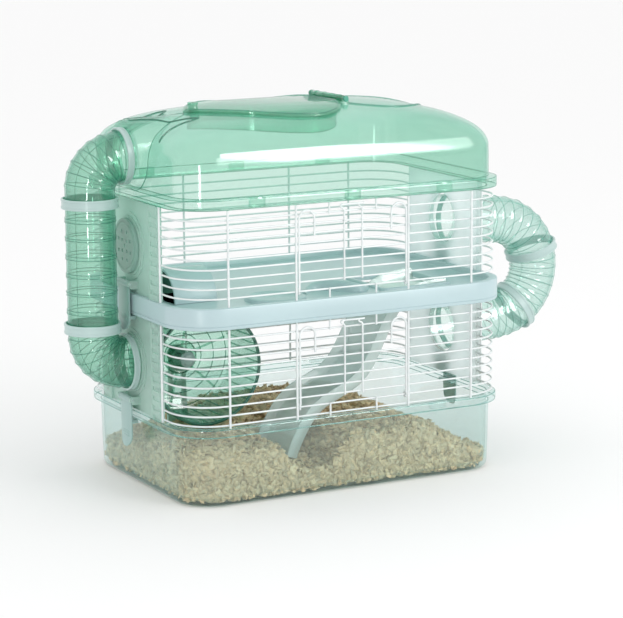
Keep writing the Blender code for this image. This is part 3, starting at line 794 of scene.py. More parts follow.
def make_panel(name, sign, storey, port_z, clip_z):
    """Side panel with two rails, a port and the lugs of the clip below or above it."""
    low, high, first, courses = storey
    inner, face, outer = 177.6, 180.4, 183.4
    # The right-hand panels take the paler, more translucent copy of the panel plastic: painted light on their
    # lit side.
    tone = SOLID["panel"] if sign < 0 else SOLID["right_panel"]
    panel = box("panel", (inner, -66, low), (face, 66, high), tone)
    adds = [box("rail", (inner, side * 49.0, low), (outer, side * 69.0, high), tone) for side in (-1, 1)]
    for edge, radius in ((outer - 0.4, 30.0), (face + 1.0, 34.0)):
        adds.append(rod("boss", (inner, 0, port_z), (edge, 0, port_z), radius, tone, 64))
    carve(panel, "UNION", *adds)
    cuts = [rod("port", (170, 0, port_z), (190, 0, port_z), PORT_R, tone, 64)]
    for side in (-1, 1):
        for k in range(courses):
            z = first + k * PITCH
            corner = (outer - 1.1, side * 54.0, z - 2.2)
            cuts.append(box("seat", corner, (outer + 1, side * 70.0, z + 2.2), tone))
        y = side * 51.4
        cuts.append(box("line", (outer - 0.5, y - 0.35, low - 1), (outer + 1, y + 0.35, high + 1), tone))
    carve(panel, "DIFFERENCE", join("cuts", cuts))
    lugs = []
    for y0, y1 in ((-16.3, -13.6), (13.6, 16.3)):
        lugs.append(turned("lug", (PIN_X, y0, clip_z), Y_AXIS, [(0, 3.1), (y1 - y0, 3.1)], tone, 32, False))
        lugs.append(box("arm", (face - 1, y0, clip_z - 4.6), (PIN_X, y1, clip_z + 3.0), tone))
    carve(panel, "UNION", *lugs)
    soften(panel, 0.35)
    if sign < 0:
        mirror_x(panel)
    stand_for(panel, name)
    panel.name = "panel_" + name


# Platform

def make_platform():
    """Band between the storeys with its floor, the slide's hole, a dish and a ridge."""
    levels = [(9.6, 187.5), (9.4, BAND_LOW + 0.6), (9.0, BAND_LOW)]
    levels += [(1.2, BAND_LOW), (0.4, BAND_LOW + 0.3), (0.0, BAND_LOW + 1.2)]
    levels += [(0.0, BAND_LOW + 3.3), (0.45, BAND_LOW + 3.5), (0.45, BAND_LOW + 3.9)]
    levels += [(0.0, BAND_LOW + 4.1), (0.0, BAND_TOP - 1.4), (0.4, BAND_TOP - 0.4)]
    levels += [(1.3, BAND_TOP), (7.6, BAND_TOP), (8.6, BAND_TOP - 0.3)]
    levels += [(9.1, BAND_TOP - 1.2), (9.5, 192.0), (11.0, 190.7), (13.0, 190.5)]
    deck = shell("deck", levels, SOLID["band"])
    x0, x1, y0, y1 = HOLE
    carve(deck, "DIFFERENCE", box("hole", (x0, y0, 180.0), (x1, y1, 198.0), SOLID["band"]))
    stand_for(deck, "platform")
    # Raised lip round the slide hole, with rounded corners.
    lip = ((-0.2, 190.3), (-0.2, 192.4), (0.5, 193.1), (2.2, 193.1), (3.2, 192.2), (3.6, 190.3))
    rings = [rounded(x0 - g, x1 + g, y0 - g, y1 + g, 3.0 + max(g, 0), z, 6) for g, z in lip]
    place(loft("hole_lip", rings, SOLID["band"], closed=True))
    # Shallow feeding dish and a wavy play ridge moulded on the floor.
    dish = [(0.0, 31.0), (3.4, 29.6), (4.6, 27.2), (4.4, 25.4), (2.2, 22.0), (1.0, 16.0)]
    dish += [(0.9, 0.05), (0.0, 0.05)]
    place(turned("dish", (-60.0, -78.0, FLOOR_Z + 0.1), Z_AXIS, dish, SOLID["band"], 64))
    rings = []
    for s in range(49):
        t = s / 48
        x = -20.0 + 74.0 * t
        y = -64.0 + 16.0 * math.sin(t * 6.6)
        tall = 11.0 * math.sin(math.pi * min(max(t, 0.04), 0.96))
        turns = [math.pi * k / 11 for k in range(12)]
        rings.append([(x, y - 6.0 * math.cos(a), FLOOR_Z + tall * math.sin(a)) for a in turns])
    place(loft("ridge", rings, SOLID["band"]))


def make_slide():
    """Curved chute with low walls and steps across its floor."""
    path = [
        (131.5, 184.5), (120.0, 184.3), (108.0, 183.0), (98.0, 180.7), (90.0, 177.5),
        (83.0, 172.6), (77.0, 166.0), (71.5, 157.6), (66.0, 148.0), (60.0, 136.6),
        (54.0, 125.0), (47.4, 113.6), (40.0, 104.0), (31.5, 96.5), (22.0, 90.5),
        (12.0, 86.0), (2.0, 81.5), (-6.0, 77.7), (-13.0, 73.0), (-18.8, 67.9), (-23.5, 62.0),
        (-27.5, 56.2), (-31.0, 50.0), (-34.2, 44.4), (-37.0, 38.5), (-39.2, 33.4), (-41.0, 28.0),
    ]
    section = both_ends([
        (34.2, 0.0), (35.4, 1.2), (35.4, 11.4), (34.8, 12.2), (33.8, 12.2), (33.2, 11.4), (33.0, 5.0),
        (31.6, 2.8), (28.6, 2.0),
    ])
    rings = []
    for i in range(len(path) * 3 - 2):
        u = min(i / 3, len(path) - 1)
        k = min(int(u), len(path) - 2)
        f = u - k
        x, z = (p * (1 - f) + q * f for p, q in zip(path[k], path[k + 1]))
        a = path[max(k - 1 + round(f), 0)]
        b = path[min(k + 1 + round(f), len(path) - 1)]
        along = Vector((b[0] - a[0], b[1] - a[1])).normalized()
        normal = Vector((-along.y, along.x))
        if normal.y < 0:
            normal = -normal
        tread = 0.55 if i % 6 in (2, 3) else 0.0
        ring = []
        for y, rise in section:
            lift = rise + (tread if abs(y) < 30 and rise == 2.0 else 0.0)
            ring.append((x + normal.x * lift, y + SLIDE_Y, z + normal.y * lift))
        rings.append(ring)
    slide = loft("slide", rings, CLEAR["slide"], sharp=50)
    stand_for(slide, "slide_ramp")


def make_hide():
    """Half-round arch: one section of the wall swept from one foot to the other; a dark sheet just inside it
    is painted shade under the arch.
    """
    low, high = mm_box("hide_arch")
    x0, x1 = low.x, high.x
    centre = (low.y + high.y) / 2
    r_out = (high.y - low.y) / 2
    r_in = r_out - 2.1
    turns = [math.pi * k / 32 for k in range(33)]

    def sweep(section, foot_z):
        return [
            [(x, centre - r * math.cos(a), foot_z + r * math.sin(a)) for x, r in section] for a in turns
        ]

    wall = [(x0, r_in + 0.5), (x0 + 0.4, r_out - 0.3), (x0 + 1.4, r_out), (x1 - 1.4, r_out)]
    wall += [(x1 - 0.4, r_out - 0.3), (x1, r_in + 0.5), (x1, r_in), (x0, r_in)]
    stand_for(loft("hide", sweep(wall, low.z), SOLID["band"]), "hide_arch")
    # Dark sheet just inside the wall: painted shade under the arch.
    liner = [(x0 + 0.3, r_in - 0.3), (x1 - 0.3, r_in - 0.3), (x1 - 0.3, r_in - 0.05), (x0 + 0.3, r_in - 0.05)]
    rings = list(zip(*sweep(liner, low.z + 0.2)))
    place(loft("hide_liner", rings, SOLID["liner"], closed=True))


# Dome

# Inset, height and corner radius of the dome's levels; by default the radius follows the inset.
CROWN = [
    (9.3, 301.8), (9.5, 328.0), (11.0, 339.0), (16.0, 349.0, 38.0), (25.0, 357.0, 42.0),
    (40.0, 364.5, 46.0), (60.0, 370.0, 50.0), (85.0, 374.0, 42.0), (108.0, 375.6, 22.0),
]
PORT_TILT = math.radians(2.0)
PORT_DIR = Vector((math.cos(PORT_TILT), 0.0, math.sin(PORT_TILT)))
PORT = Vector((-185.4, 0.0, 333.4))
COWL_R = 35.0


def spline(knots, steps):
    """Catmull-Rom curve through the knots."""
    rows = np.array([knots[0], *knots, knots[-1]], dtype=float)
    points = []
    for a, b, c, d in zip(rows, rows[1:], rows[2:], rows[3:]):
        for s in range(steps):
            t = s / steps
            points.append(0.5 * (
                2 * b + (c - a) * t + (2 * a - 5 * b + 4 * c - d) * t * t
                + (3 * b - a - 3 * c + d) * t ** 3
            ))
    return [tuple(float(v) for v in p) for p in points + [rows[-1]]]


def smooth_levels(levels, rise, steps=5):
    """Crown levels with a spline run through them."""
    rows = [(v[0], v[1], v[2] if len(v) > 2 else CORNER_R - v[0]) for v in levels]
    return [(inset, z + rise, r) for inset, z, r in spline(rows, steps)]


CROWN_LEVELS = smooth_levels(CROWN, 0.0, 3)


LID_EDGE = [
    (-121, 0), (-107, 26), (-88, 48), (-62, 66), (-32, 77), (-4, 79), (17, 68), (30, 50),
    (36.0, 32.8),
]


def lid_outline(shrink, end_x=40.6):
    """Almond outline of the lid, pointed at the left end, straight at the hinge."""
    half = spline(LID_EDGE, 5) + [(end_x, 32.0)]
    centre = Vector((-30.0, 0.0))
    points = []
    for x, y in half + [(x, -y) for x, y in reversed(half[1:])]:
        away = Vector((x, y)) - centre
        away -= away.normalized() * shrink
        points.append((centre.x + away.x, centre.y + away.y))
    return points


def under_crown(outline, drop):
    """Outline laid at a height above the dome's outer surface, or below it."""
    return [(x, y, crown_height(x, y) + drop) for x, y in outline]


def column(name, points, low, high, mat):
    """Upright solid over an outline."""
    return loft(name, [[(x, y, low) for x, y in points], [(x, y, high) for x, y in points]], mat)


def make_dome():
    """Hollow dome with the port's cowl, the hatch under the lid, the lid's lugs and the rim's tabs."""
    mat = CLEAR["dome"]
    inner = []
    for inset, z, *radius in CROWN[:-1]:
        inner.append((inset + (2.1 if z < 345 else 1.4), z - (0.0 if z < 335 else 1.9), *radius))
    inner = smooth_levels(inner + [(108.0, 373.5, 22.0)], 0.0)
    low = DOME_LOW
    rim = [(11.6, low + 0.3), (10.9, low), (2.2, low), (1.4, low + 0.3), (1.1, low + 1.2)]
    rim += [(1.1, low + 6.2), (1.6, low + 6.5), (1.6, low + 7.0), (1.1, low + 7.3)]
    rim += [(1.1, 300.3), (1.4, 301.1), (2.2, 301.4), (8.2, 301.4), (9.0, 301.5)]
    solid = shell("dome", rim + smooth_levels(CROWN, 0.0), mat)
    profile = [(0.0, COWL_R - 1.4), (0.4, COWL_R - 0.4), (1.4, COWL_R), (84.0, COWL_R)]
    carve(solid, "UNION", turned("cowl", PORT, PORT_DIR, profile, mat, 72, False))
    carve(
        solid, "DIFFERENCE", shell("hollow", [(11.7, low - 2.0)] + inner, mat),
        rod("cowl_hollow", PORT + PORT_DIR * 2.2, PORT + PORT_DIR * 82, COWL_R - 2.2, mat, 72),
        rod("port", PORT - PORT_DIR * 3, PORT + PORT_DIR * 6, PORT_R, mat, 64),
        column("hatch", lid_outline(5.0), 350, 400, mat),
    )
    stand_for(solid, "dome_top")
    lug = [(HINGE.x - 4, 372.5)]
    lug += [(HINGE.x + 3.6 * math.cos(a), HINGE.z + 3.4 * math.sin(a)) for a in np.linspace(math.pi, 0, 13)]
    lug += [(HINGE.x + 5, 372.5)]
    lugs = []
    for ends in ((-36.5, -33.0), (33.0, 36.5)):
        rings = [[(x, y, z) for x, z in lug] for y in ends]
        lugs.append(soften(loft("lug", rings, mat), 0.5))
    place(join("hinge_lugs", lugs))
    # Rim tabs at intervals, front and back.
    tabs = []
    for x in (-104.0, 0.0, 104.0):
        for side in (-1, 1):
            y = side * (HALF_D - 1.1)
            corner = (x - 8, y + (0.8 if side > 0 else 0.0), low + 1.0)
            tabs.append(box("tab", corner, (x + 8, y - side * 5, 302.0), mat, 0.6))
    place(join("rim_tabs", tabs))
    lines = [(1.6, low + 0.5), (1.6, 300.9), (9.6, 302.0), (11.2, low + 0.5)]
    place(outline_beads("rim_lines", lines, CLEAR["rib"]))
    make_lens()
    make_seams()


def crown_height(x, y):
    """Height of the dome's outer surface over a point."""
    levels = CROWN_LEVELS
    for i in range(len(levels) - 1, 0, -1):
        inset, z, r = levels[i]
        if point_in(x, y, inset, r):
            return z if i == len(levels) - 1 else blend_height(x, y, levels[i], levels[i + 1])
    return levels[0][1]


def signed_out(x, y, inset, r):
    """Distance of a point outside the outline of a level, negative inside it."""
    half_x = HALF_W - inset
    half_y = HALF_D - inset
    r = min(r, half_y - 0.5)
    dx = abs(x) - (half_x - r)
    dy = abs(y) - (half_y - r)
    outside = math.hypot(max(dx, 0), max(dy, 0))
    return outside + min(max(dx, dy), 0) - r


def point_in(x, y, inset, r):
    return signed_out(x, y, inset, r) <= 0


def blend_height(x, y, a, b):
    da = -signed_out(x, y, a[0], a[2])
    db = signed_out(x, y, b[0], b[2])
    t = da / max(da + db, 1e-6)
    return a[1] + (b[1] - a[1]) * t


def inside_dome(x, y, z):
    """Whether a point lies within the dome's outer surface."""
    levels = CROWN_LEVELS
    for a, b in zip(levels, levels[1:]):
        if a[1] <= z <= b[1]:
            t = (z - a[1]) / (b[1] - a[1])
            inset = a[0] + (b[0] - a[0]) * t
            return point_in(x, y, inset, a[2] + (b[2] - a[2]) * t)
    return z < levels[0][1] and point_in(x, y, levels[0][0], levels[0][2])


def make_seams():
    """Lines where the port's cowl meets the dome, and the hatch's frame."""
    up = Vector((-PORT_DIR.z, 0.0, PORT_DIR.x))
    side = Vector(Y_AXIS)
    reach = COWL_R + 0.2
    seam = []
    sides, reach_steps, reach_step = 72, 169, 0.5
    for k in range(sides + 1):
        a = 2 * math.pi * k / sides
        start = PORT + up * reach * math.cos(a) + side * reach * math.sin(a)
        for s in range(reach_steps):
            p = start + PORT_DIR * reach_step * s
            if inside_dome(*p):
                seam.append(tuple(p))
                break
    place(wires("cowl_seam", [(0.5, seam)], CLEAR["rib"]))
    leaf = [
        (-182, 6), (-170, 7), (-156, 11), (-142, 19), (-131, 28), (-122, 38), (-131, 41), (-143, 41),
        (-154, 41), (-163, 43), (-170, 48),
    ]
    runs = []
    for side in (-1, 1):
        line = []
        for (x0, y0), (x1, y1) in zip(leaf, leaf[1:]):
            for t in (0.0, 0.25, 0.5, 0.75):
                x = x0 * (1 - t) + x1 * t
                y = side * (y0 * (1 - t) + y1 * t)
                along = (x - PORT.x) * math.tan(PORT_TILT)
                cowl_z = PORT.z + along + math.sqrt(max(COWL_R ** 2 - y * y, 0.0))
                line.append((x, y, max(cowl_z, crown_height(x, y)) + 0.2))
        runs.append((0.85, line))
    place(wires("cowl_leaf", runs, CLEAR["seam"]))
    section = ((4.6, -1.0), (4.6, -16.0), (5.6, -16.6), (6.0, -16.0), (6.0, -1.0))
    rings = [under_crown(lid_outline(shrink, 36.0), drop) for shrink, drop in section]
    place(loft("hatch_frame", rings, CLEAR["lid"], closed=True))
    edge = under_crown(lid_outline(5.3, 36.0), -16.3)
    place(wires("hatch_edge", [(0.6, edge + edge[:1])], CLEAR["rib"]))


def make_lens():
    """Raised line round the fixed almond field right of the hinge."""
    points = []
    for side in (-1, 1):
        run = []
        for s in range(41):
            t = s / 40
            x = 47.0 + 104.0 * t
            y = side * (36.0 * (1 - t) ** 0.5 * (1 - t) + 44.0 * math.sin(math.pi * t) ** 0.8)
            run.append((x, y, crown_height(x, y) + 0.5))
        points.append((0.9, run))
    place(wires("lens_line", points, CLEAR["rib"]))


def make_lid():
    """Lid: the part of the crown inside its outline, lifted, with its bead, skirt and hinge."""
    lid = shell("lid", smooth_levels(CROWN, 3.0), CLEAR["lid"])
    carve(lid, "INTERSECT", column("blank", lid_outline(0.0), 345, 400, CLEAR["lid"]))
    carve(lid, "DIFFERENCE", shell("clear", smooth_levels(CROWN, 0.9), CLEAR["lid"]))
    soften(lid, 0.5)
    stand_for(lid, "dome_lid", "lid")
    # Hanging skirt under the edge, raised bead above it.
    bead = under_crown(lid_outline(3.0, 38.0), 3.3)
    place(wires("lid_bead", [(0.6, bead)], CLEAR["rib"]), "lid")
    section = ((7.0, 0.9), (7.0, -2.2), (8.2, -2.2), (8.2, 0.9))
    rings = [under_crown(lid_outline(shrink, 34.0), drop) for shrink, drop in section]
    place(loft("lid_skirt", rings, CLEAR["lid"], closed=True), "lid")
    spin = both_ends([(31.8, 3.3), (32.4, 2.9), (32.4, 2.0)])
    knuckle = [turned("knuckle", HINGE, Y_AXIS, spin, CLEAR["lid"], 32)]
    for y in (-24.0, -8.0, 8.0, 24.0):
        band = [(y - 1.4, 3.2), (y - 1.0, 3.6), (y + 1.0, 3.6), (y + 1.4, 3.2)]
        knuckle.append(turned("band", HINGE, Y_AXIS, band, CLEAR["lid"], 32))
    place(join("lid_knuckle", knuckle), "lid")
    knob = [(0.0, 0.05), (0.0, 6.4), (0.8, 6.4), (1.6, 5.0), (4.6, 4.4), (5.6, 5.4), (7.0, 5.4)]
    knob += [(7.6, 4.6), (7.6, 0.05)]
    place(turned("lid_knob", (-110.0, 0.0, 374.2), Z_AXIS, knob, CLEAR["lid"], 40), "lid")
    pin = both_ends([(36.7, 1.6), (36.9, 3.0), (37.8, 3.0), (38.4, 2.6), (38.4, 0.05)])
    stand_for(turned("hinge_pin", HINGE, Y_AXIS, pin, SOLID["pin"], 28, False), "lid_hinge_pin")


# Tubes

def lay_tube(name, cad_node, path, ribs, painted_light_side=False):
    """Hollow tube along a path in the XZ plane, with ribs at set shares of its length."""
    # The right-hand run takes the paler tube and rib copies: painted light on its lit side.
    mat = CLEAR["right_tube"] if painted_light_side else CLEAR["tube"]
    bead = CLEAR["right_rib"] if painted_light_side else CLEAR["rib"]
    sides = 48
    step, rib_high, rib_half = 1.1, 0.85, 0.95
    base = TUBE_R - 0.9
    loops = []
    seams = {-58: [], 60: []}
    stops = list(ribs)
    points = [Vector(path[0])]
    for a, b in zip(path, path[1:]):
        a, b = Vector(a), Vector(b)
        count = max(1, int((b - a).length / step))
        points += [a + (b - a) * (i + 1) / count for i in range(count)]
    total = sum((b - a).length for a, b in zip(points, points[1:]))
    side = Vector(Y_AXIS)
    outer = []
    inner = []
    run = 0.0
    for i, p in enumerate(points):
        if i:
            run += (p - points[i - 1]).length
        a = points[max(i - 2, 0)]
        b = points[min(i + 2, len(points) - 1)]
        along = (b - a).normalized()
        across = side.cross(along).normalized()
        swell = 0.0
        for at in ribs:
            gap = abs(run - at * total)
            swell = max(swell, rib_high * math.exp(-(gap / rib_half) ** 4))
        ring_out = []
        ring_in = []
        for k in range(sides):
            t = 2 * math.pi * k / sides
            direction = side * math.cos(t) + across * math.sin(t)
            ring_out.append(tuple(p + direction * (base + swell)))
            ring_in.append(tuple(p + direction * (base - 1.5 + swell * 0.4)))
        outer.append(ring_out)
        inner.append(ring_in)
        while stops and run >= stops[0] * total:
            stops.pop(0)
            loop = [p + (Vector(q) - p) * 0.995 for q in ring_out[::2]]
            loops.append((0.42, [tuple(q) for q in loop + loop[:1]]))
        for angle, line in seams.items():
            t = math.radians(angle)
            direction = -side * math.cos(t) + across * math.sin(t)
            line.append(tuple(p + direction * (base + 0.1)))
    stand_for(loft(name, outer + inner[::-1], mat, closed=True, sharp=60), cad_node)
    place(wires(name + "_ribs", loops + [(0.28, line) for line in seams.values()], bead))


def locking_ring(name, centre, direction, length):
    """Ring with two raised beads."""
    half = length / 2
    r = 28.4
    edge = [(half - 2.3, r - 0.5), (half - 2.0, r), (half - 0.5, r), (half, r - 0.5), (half, r - 1.9)]
    return turned(name, centre, direction, both_ends(edge), SOLID["ring"], 72)


def even_ribs(start, gap, count):
    """Ribs at equal shares of a tube's length."""
    return [start + gap * k for k in range(count)]


def straight_ribs(count, start, end):
    """Ribs in pairs, evenly spread from start to end."""
    gaps = []
    for k in range(count):
        at = start + (end - start) * (k + 0.5) / count
        gaps += [at - 0.012, at + 0.012]
    return gaps


def make_tubes():
    axis_x = middle("left_straight_tube", 0)
    bend = 31.0
    bend_x = axis_x + bend
    low_z = middle("left_ring_lower", 2)
    top_z = middle("left_ring_upper", 2)
    path = [(-177.0, 0, PORT_LOW_Z)]
    path += arc_points((bend_x, 0, PORT_LOW_Z + bend), X_AXIS, Z_AXIS, bend, 270, 180, 18)
    path.append((axis_x, 0, low_z - 0.15))
    lay_tube("elbow_low", "left_elbow_lower", path, even_ribs(0.26, 0.1, 7))
    path = [(axis_x, 0, low_z + 0.15), (axis_x, 0, top_z - 0.15)]
    lay_tube("tube_straight", "left_straight_tube", path, straight_ribs(6, 0.06, 0.94))
    path = [(axis_x, 0, top_z + 0.15)]
    top_bend_z = 302.0
    path += arc_points((bend_x, 0, top_bend_z), X_AXIS, Z_AXIS, bend, 180, 92, 18)
    end = Vector(path[-1])
    path.append(tuple(end + PORT_DIR * 10.0))
    lay_tube("elbow_top", "left_elbow_upper", path, even_ribs(0.22, 0.1, 7))
    rings = [
        ("left_ring_lower", (axis_x, 0, low_z), Z_AXIS, 10.0),
        ("left_ring_upper", (axis_x, 0, top_z), Z_AXIS, 10.0),
        ("left_port_collar", (-187.2, 0, PORT_LOW_Z), X_AXIS, 6.4),
        ("dome_port_ring", tuple(end + PORT_DIR * 3.6), tuple(PORT_DIR), 6.6),
    ]
    # Right run, in the paler copies of the tube and rib plastic: painted light on the lit right-hand side.
    tilt = math.radians(6.0)
    radius = 52.0
    middle_z = (PORT_LOW_Z + PORT_TOP_Z) / 2
    half_gap = (PORT_TOP_Z - PORT_LOW_Z) / 2
    run = (half_gap - radius * math.cos(tilt)) / math.tan(tilt)
    centre = (180.6 + run - radius * math.sin(tilt), 0, middle_z)
    ring_b, ring_c = 18.0, -57.0

    def bend_arc(start, end, steps):
        return arc_points(centre, X_AXIS, Z_AXIS, radius, start, end, steps)

    path = [(177.0, 0, PORT_TOP_Z + 0.36)] + bend_arc(84, ring_b + 0.3, 22)
    lay_tube("right_top", "right_elbow_upper", path, even_ribs(0.42, 0.08, 7), True)
    path = bend_arc(ring_b - 0.3, ring_c + 0.3, 24)
    lay_tube("right_middle", "right_elbow_lower", path, even_ribs(0.14, 0.12, 7), True)
    path = bend_arc(ring_c - 0.3, -84, 10) + [(177.0, 0, PORT_LOW_Z - 0.36)]
    lay_tube("right_low", "right_port_stub", path, even_ribs(0.1, 0.09, 4), True)
    for name, angle in (("right_ring_middle", ring_b), ("right_ring_lower", ring_c)):
        a = math.radians(angle - 90)
        rings.append((name, bend_arc(angle, angle, 1)[0], (math.cos(a), 0, math.sin(a)), 9.0))
    slope = (math.cos(tilt), 0, -math.sin(tilt))
    rings.append(("right_collar_upper", (190.0, 0, PORT_TOP_Z - 0.99), slope, 5.4))
    slope = (math.cos(tilt), 0, math.sin(tilt))
    rings.append(("right_collar_lower", (190.0, 0, PORT_LOW_Z + 0.99), slope, 5.4))
    for name, spot, direction, length in rings:
        stand_for(locking_ring("lock_" + name, spot, direction, length), name)


def make_vent():
    """Vent cap: a stepped disc with rings of round holes."""
    z = PORT_TOP_Z
    profile = [
        (-8.9, 24.2), (-8.9, 25.2), (-8.4, 25.5), (-3.2, 25.5), (-3.2, 27.5), (-0.9, 27.5),
        (-0.25, 27.2), (0.0, 26.4), (0.0, 24.6), (-0.5, 24.1), (-0.5, 22.6), (0.0, 22.1),
        (0.0, 0.05), (-2.2, 0.05), (-2.2, 24.2),
    ]
    vent = turned("vent", (-186.9, 0, z), (-1, 0, 0), profile, SOLID["vent"], 64)
    holes = []
    for count, radius in ((1, 0.0), (4, 7.5), (8, 15.0)):
        for k in range(count):
            a = 2 * math.pi * (k + 0.5) / count
            y = radius * math.cos(a)
            spot = z + radius * math.sin(a)
            holes.append(rod("hole", (-190, y, spot), (-182, y, spot), 1.9, SOLID["vent"], 20))
    carve(vent, "DIFFERENCE", join("holes", holes))
    stand_for(vent, "vent_cap", "vent")


# Wheel

def make_wheel():
    """Running wheel with its solid disc, hub, axle and stand."""
    x, z = WHEEL.x, WHEEL.z
    r = 59.0
    ridges, ridge_pitch = 18, 3.5
    profile = [(-35.0, r - 3.2), (-35.0, r - 0.6), (-34.4, r), (-31.8, r), (-31.2, r - 0.7)]
    for k in range(ridges):
        y = -30.0 + k * ridge_pitch
        profile += [(y, r - 0.9), (y + 0.9, r - 0.35), (y + 1.8, r - 0.9)]
    profile += [(33.6, r - 0.5), (34.6, r - 1.0), (35.0, r - 2.4)]
    for radius in (50.0, 40.0, 30.0, 20.0):
        profile += [(35.0, radius + 1.4), (35.5, radius + 0.8)]
        profile += [(35.5, radius - 0.8), (35.0, radius - 1.4)]
    profile += [(35.0, 10.5), (37.0, 9.4), (37.0, 3.5), (15.0, 3.5), (15.0, 8.0), (15.6, 9.0)]
    profile += [(30.0, 9.4), (33.0, 12.0), (33.0, r - 5.0), (31.5, r - 2.8), (-34.0, r - 2.4)]
    centre = (x, 0, z)
    stand_for(turned("drum", centre, Y_AXIS, profile, CLEAR["wheel"], 96), "wheel_drum", "wheel")
    rungs = []
    rung_count, spoke_count = 36, 6
    for k in range(rung_count):
        a = 2 * math.pi * k / rung_count
        cx = x + (r - 2.9) * math.cos(a)
        cz = z + (r - 2.9) * math.sin(a)
        rungs.append((0.75, [(cx, -31.0, cz), (cx, 30.5, cz)]))
    place(wires("rungs", rungs, CLEAR["wheel"]), "wheel")
    spokes = []
    for k in range(spoke_count):
        a = 2 * math.pi * k / spoke_count + 0.3
        ends = [(x + reach * math.cos(a), 32.2, z + reach * math.sin(a)) for reach in (9, r - 6)]
        spokes.append((1.1, ends))
    place(wires("disc_ribs", spokes, CLEAR["wheel"]), "wheel")
    boss = [(29.6, 15.0), (29.0, 16.4), (29.6, 17.6), (33.0, 18.0), (33.0, 10.0), (29.6, 10.0)]
    place(turned("hub_boss", centre, Y_AXIS, boss, CLEAR["wheel"], 64), "wheel")

    def circle(y, radius, steps):
        return arc_points((x, y, z), X_AXIS, Z_AXIS, radius, 0, 360, steps)

    loops = [(0.5, circle(32.4, radius, 64)) for radius in (17.4, 24.0, 38.0, 52.0)]
    place(wires("disc_rings", loops, CLEAR["rib"]), "wheel")
    edge = [(1.5, circle(-33.4, r - 1.55, 96))]
    place(wires("drum_rim", edge, SOLID["axle"]), "wheel")
    cap = [(10.5, 0.05), (10.5, 5.2), (10.9, 5.8), (11.8, 6.4), (12.0, 7.4), (12.6, 8.0)]
    cap += [(14.2, 8.0), (14.7, 7.4), (14.7, 0.05)]
    stand_for(turned("hub_cap", centre, Y_AXIS, cap, SOLID["ring"], 48, False), "wheel_hub_cap", "wheel")
    axle = [(16.0, 0.05), (16.0, 2.6), (16.4, 3.0), (44.4, 3.0), (45.0, 2.4), (45.0, 0.05)]
    stand_for(turned("axle", centre, Y_AXIS, axle, SOLID["axle"], 32, False), "wheel_axle")
    points = [(x - 13, 4.0), (x - 8.6, z - 4)]
    points += [(x + 10.4 * math.cos(a), z + 10.4 * math.sin(a)) for a in np.linspace(math.pi, 0, 17)]
    points += [(x + 8.6, z - 4), (x + 13, 4.0)]
    rings = [[(px, y, pz) for px, pz in points] for y in (38.5, 43.0)]
    stand = loft("stand", rings, SOLID["stand"])
    slots = []
    for low in (66.0, 79.0, 92.0):
        slots.append(box("slot", (x - 5.4, 36, low), (x + 5.4, 46, low + 8.0), SOLID["stand"], 1.5, 3))
    carve(stand, "UNION", box("foot", (-150, 26, 2.6), (-78, 62, 6.0), SOLID["stand"]))
    carve(stand, "DIFFERENCE", join("slots", slots))
    soften(stand, 0.6)
    stand_for(stand, "wheel_stand")


# Clips

def make_clip(side, storey, sign, pin_z, hook_z, tip_z):
    """Hanging clip: a plate with a hook behind it, its barrel and the pin it turns on."""
    x = PIN_X
    name = side + "_clip_" + storey
    body = "clip_" + side + "_" + storey
    stations = [
        (pin_z - 1.0, 11.6, 0.0), (pin_z - 8, 12.6, 0.0), (pin_z - 20, 12.6, 0.0),
        (tip_z + 14, 12.4, 0.0), (tip_z + 8, 11.8, 0.1), (tip_z + 4, 9.8, 0.8),
        (tip_z + 1.4, 6.8, 1.5), (tip_z, 3.2, 1.9),
    ]
    rings = []
    for z, half, push in stations:
        section = [(-half, -0.8), (-half + 1.6, -0.9), (half - 1.6, -0.9), (half, -0.8), (half, 0.5)]
        section += [(half - 1.4, 0.9), (0.0, 1.1), (-half + 1.4, 0.9), (-half, 0.5)]
        rings.append([(x + depth + push, y, z) for y, depth in section])
    plate = loft(name + "_plate", rings, SOLID["clip"], sharp=50)
    adds = [box("hook", (181.4, -12.2, hook_z - 3.2), (x - 0.2, 12.2, hook_z), SOLID["clip"])]
    for k in range(3):
        z = tip_z + 10 + 2.6 * k
        adds.append(box("ridge", (x + 0.8, -7.0, z), (x + 1.6, 7.0, z + 1.2), SOLID["clip"]))
    carve(plate, "UNION", *adds)
    soften(plate, 0.3)
    centre = (x, 0, pin_z)
    spin = both_ends([(12.8, 3.2), (13.2, 2.8), (13.2, 1.6)])
    barrel = turned(name + "_barrel", centre, Y_AXIS, spin, SOLID["clip"], 32)
    pin = both_ends([(16.3, 1.3), (16.6, 1.0), (16.6, 0.05)])
    bar = turned(name + "_bar", centre, Y_AXIS, pin, SOLID["ring"], 24, False)
    if sign < 0:
        for obj in (plate, barrel, bar):
            mirror_x(obj)
    stand_for(plate, name, body)
    place(barrel, body)
    stand_for(bar, name + "_pin")


# Stage

def area(name, spot, look_at, width, height, power):
    """Rectangular light aimed at a point, in metres and watts."""
    light = bpy.data.lights.new(name, "AREA")
    light.shape = "RECTANGLE"
    light.size = width
    light.size_y = height
    light.energy = power
    obj = linked(name, light)
    obj.location = spot
    aim = Vector(look_at) - Vector(spot)
    obj.rotation_euler = aim.to_track_quat("-Z", "Y").to_euler()
    return obj


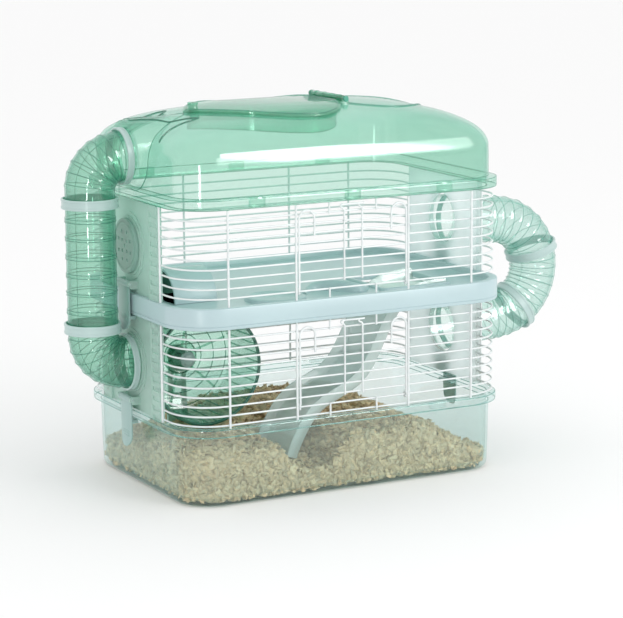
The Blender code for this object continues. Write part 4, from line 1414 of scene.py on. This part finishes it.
def make_camera():
    azimuth, pitch, roll = (math.radians(v) for v in (27.86, 10.70, -0.43))
    distance = 2.533
    target = Vector((0.0214, 0.0, 0.1606))
    level = math.cos(pitch)
    forward = Vector((math.sin(azimuth) * level, math.cos(azimuth) * level, -math.sin(pitch)))
    right = Vector((math.cos(azimuth), -math.sin(azimuth), 0.0))
    up = right.cross(forward)
    rolled_right = right * math.cos(roll) + up * math.sin(roll)
    rolled_up = up * math.cos(roll) - right * math.sin(roll)
    turn = Matrix((rolled_right, rolled_up, -forward)).transposed()
    data = bpy.data.cameras.new("camera")
    data.sensor_fit = "HORIZONTAL"
    data.sensor_width = 36.0
    data.lens = 141.862
    data.clip_end = 50.0
    camera = linked("camera", data)
    camera.matrix_world = Matrix.Translation(target - forward * distance) @ turn.to_4x4()
    bpy.context.scene.camera = camera


def make_stage():
    """Floor, world, lights and camera."""
    size = 9.0
    corners = [(-size, -size, 0), (size, -size, 0), (size, size, 0), (-size, size, 0)]
    floor_mesh = bpy.data.meshes.new("floor")
    floor_mesh.from_pydata(corners, [], [(0, 1, 2, 3)])
    floor = linked("floor", floor_mesh)
    floor.location.z = -0.0005
    mat, tree, out = new_material("floor_paper")
    looks = [("Base Color", (0.93, 0.93, 0.93, 1.0)), ("Roughness", 0.9), ("Specular IOR Level", 0.05)]
    tree.links.new(node(tree, "ShaderNodeBsdfPrincipled", looks).outputs[0], out)
    floor_mesh.materials.append(mat)

    world = bpy.data.worlds.new("studio")
    bpy.context.scene.world = world
    world.use_nodes = True
    background = world.node_tree.nodes["Background"]
    background.inputs["Color"].default_value = (1.0, 1.0, 1.0, 1.0)
    background.inputs["Strength"].default_value = 1.03
    area("soft_key", (0.9, -1.75, 1.1), (0.02, -0.1, 0.3), 1.2, 1.0, 9)
    strip = area("strip_gloss", (0.93, -1.72, 1.12), (0.02, -0.1, 0.345), 0.5, 1.5, 19)
    strip.visible_diffuse = False
    corner = area("corner_gloss", (-1.05, -1.15, 0.26), (-0.16, -0.1, 0.3), 0.1, 0.5, 2.4)
    corner.visible_diffuse = False
    make_camera()
    bpy.context.scene.view_settings.view_transform = "Standard"
    bpy.context.scene.cycles.transparent_max_bounces = 32


make_tray()
make_bedding()
make_grilles()
make_doors()
for side_name, sign in (("left", -1), ("right", 1)):
    make_panel("lower_" + side_name + "_panel", sign, LOWER, PORT_LOW_Z, LOWER_PIN_Z)
    make_panel("upper_" + side_name + "_panel", sign, UPPER, PORT_TOP_Z, UPPER_PIN_Z)
    make_clip(side_name, "upper", sign, UPPER_PIN_Z, BAND_LOW - 1.2, 160.5)
    make_clip(side_name, "lower", sign, LOWER_PIN_Z, 69.5, 42.0)
make_platform()
make_slide()
make_hide()
make_dome()
make_lid()
make_tubes()
make_vent()
make_wheel()
make_stage()
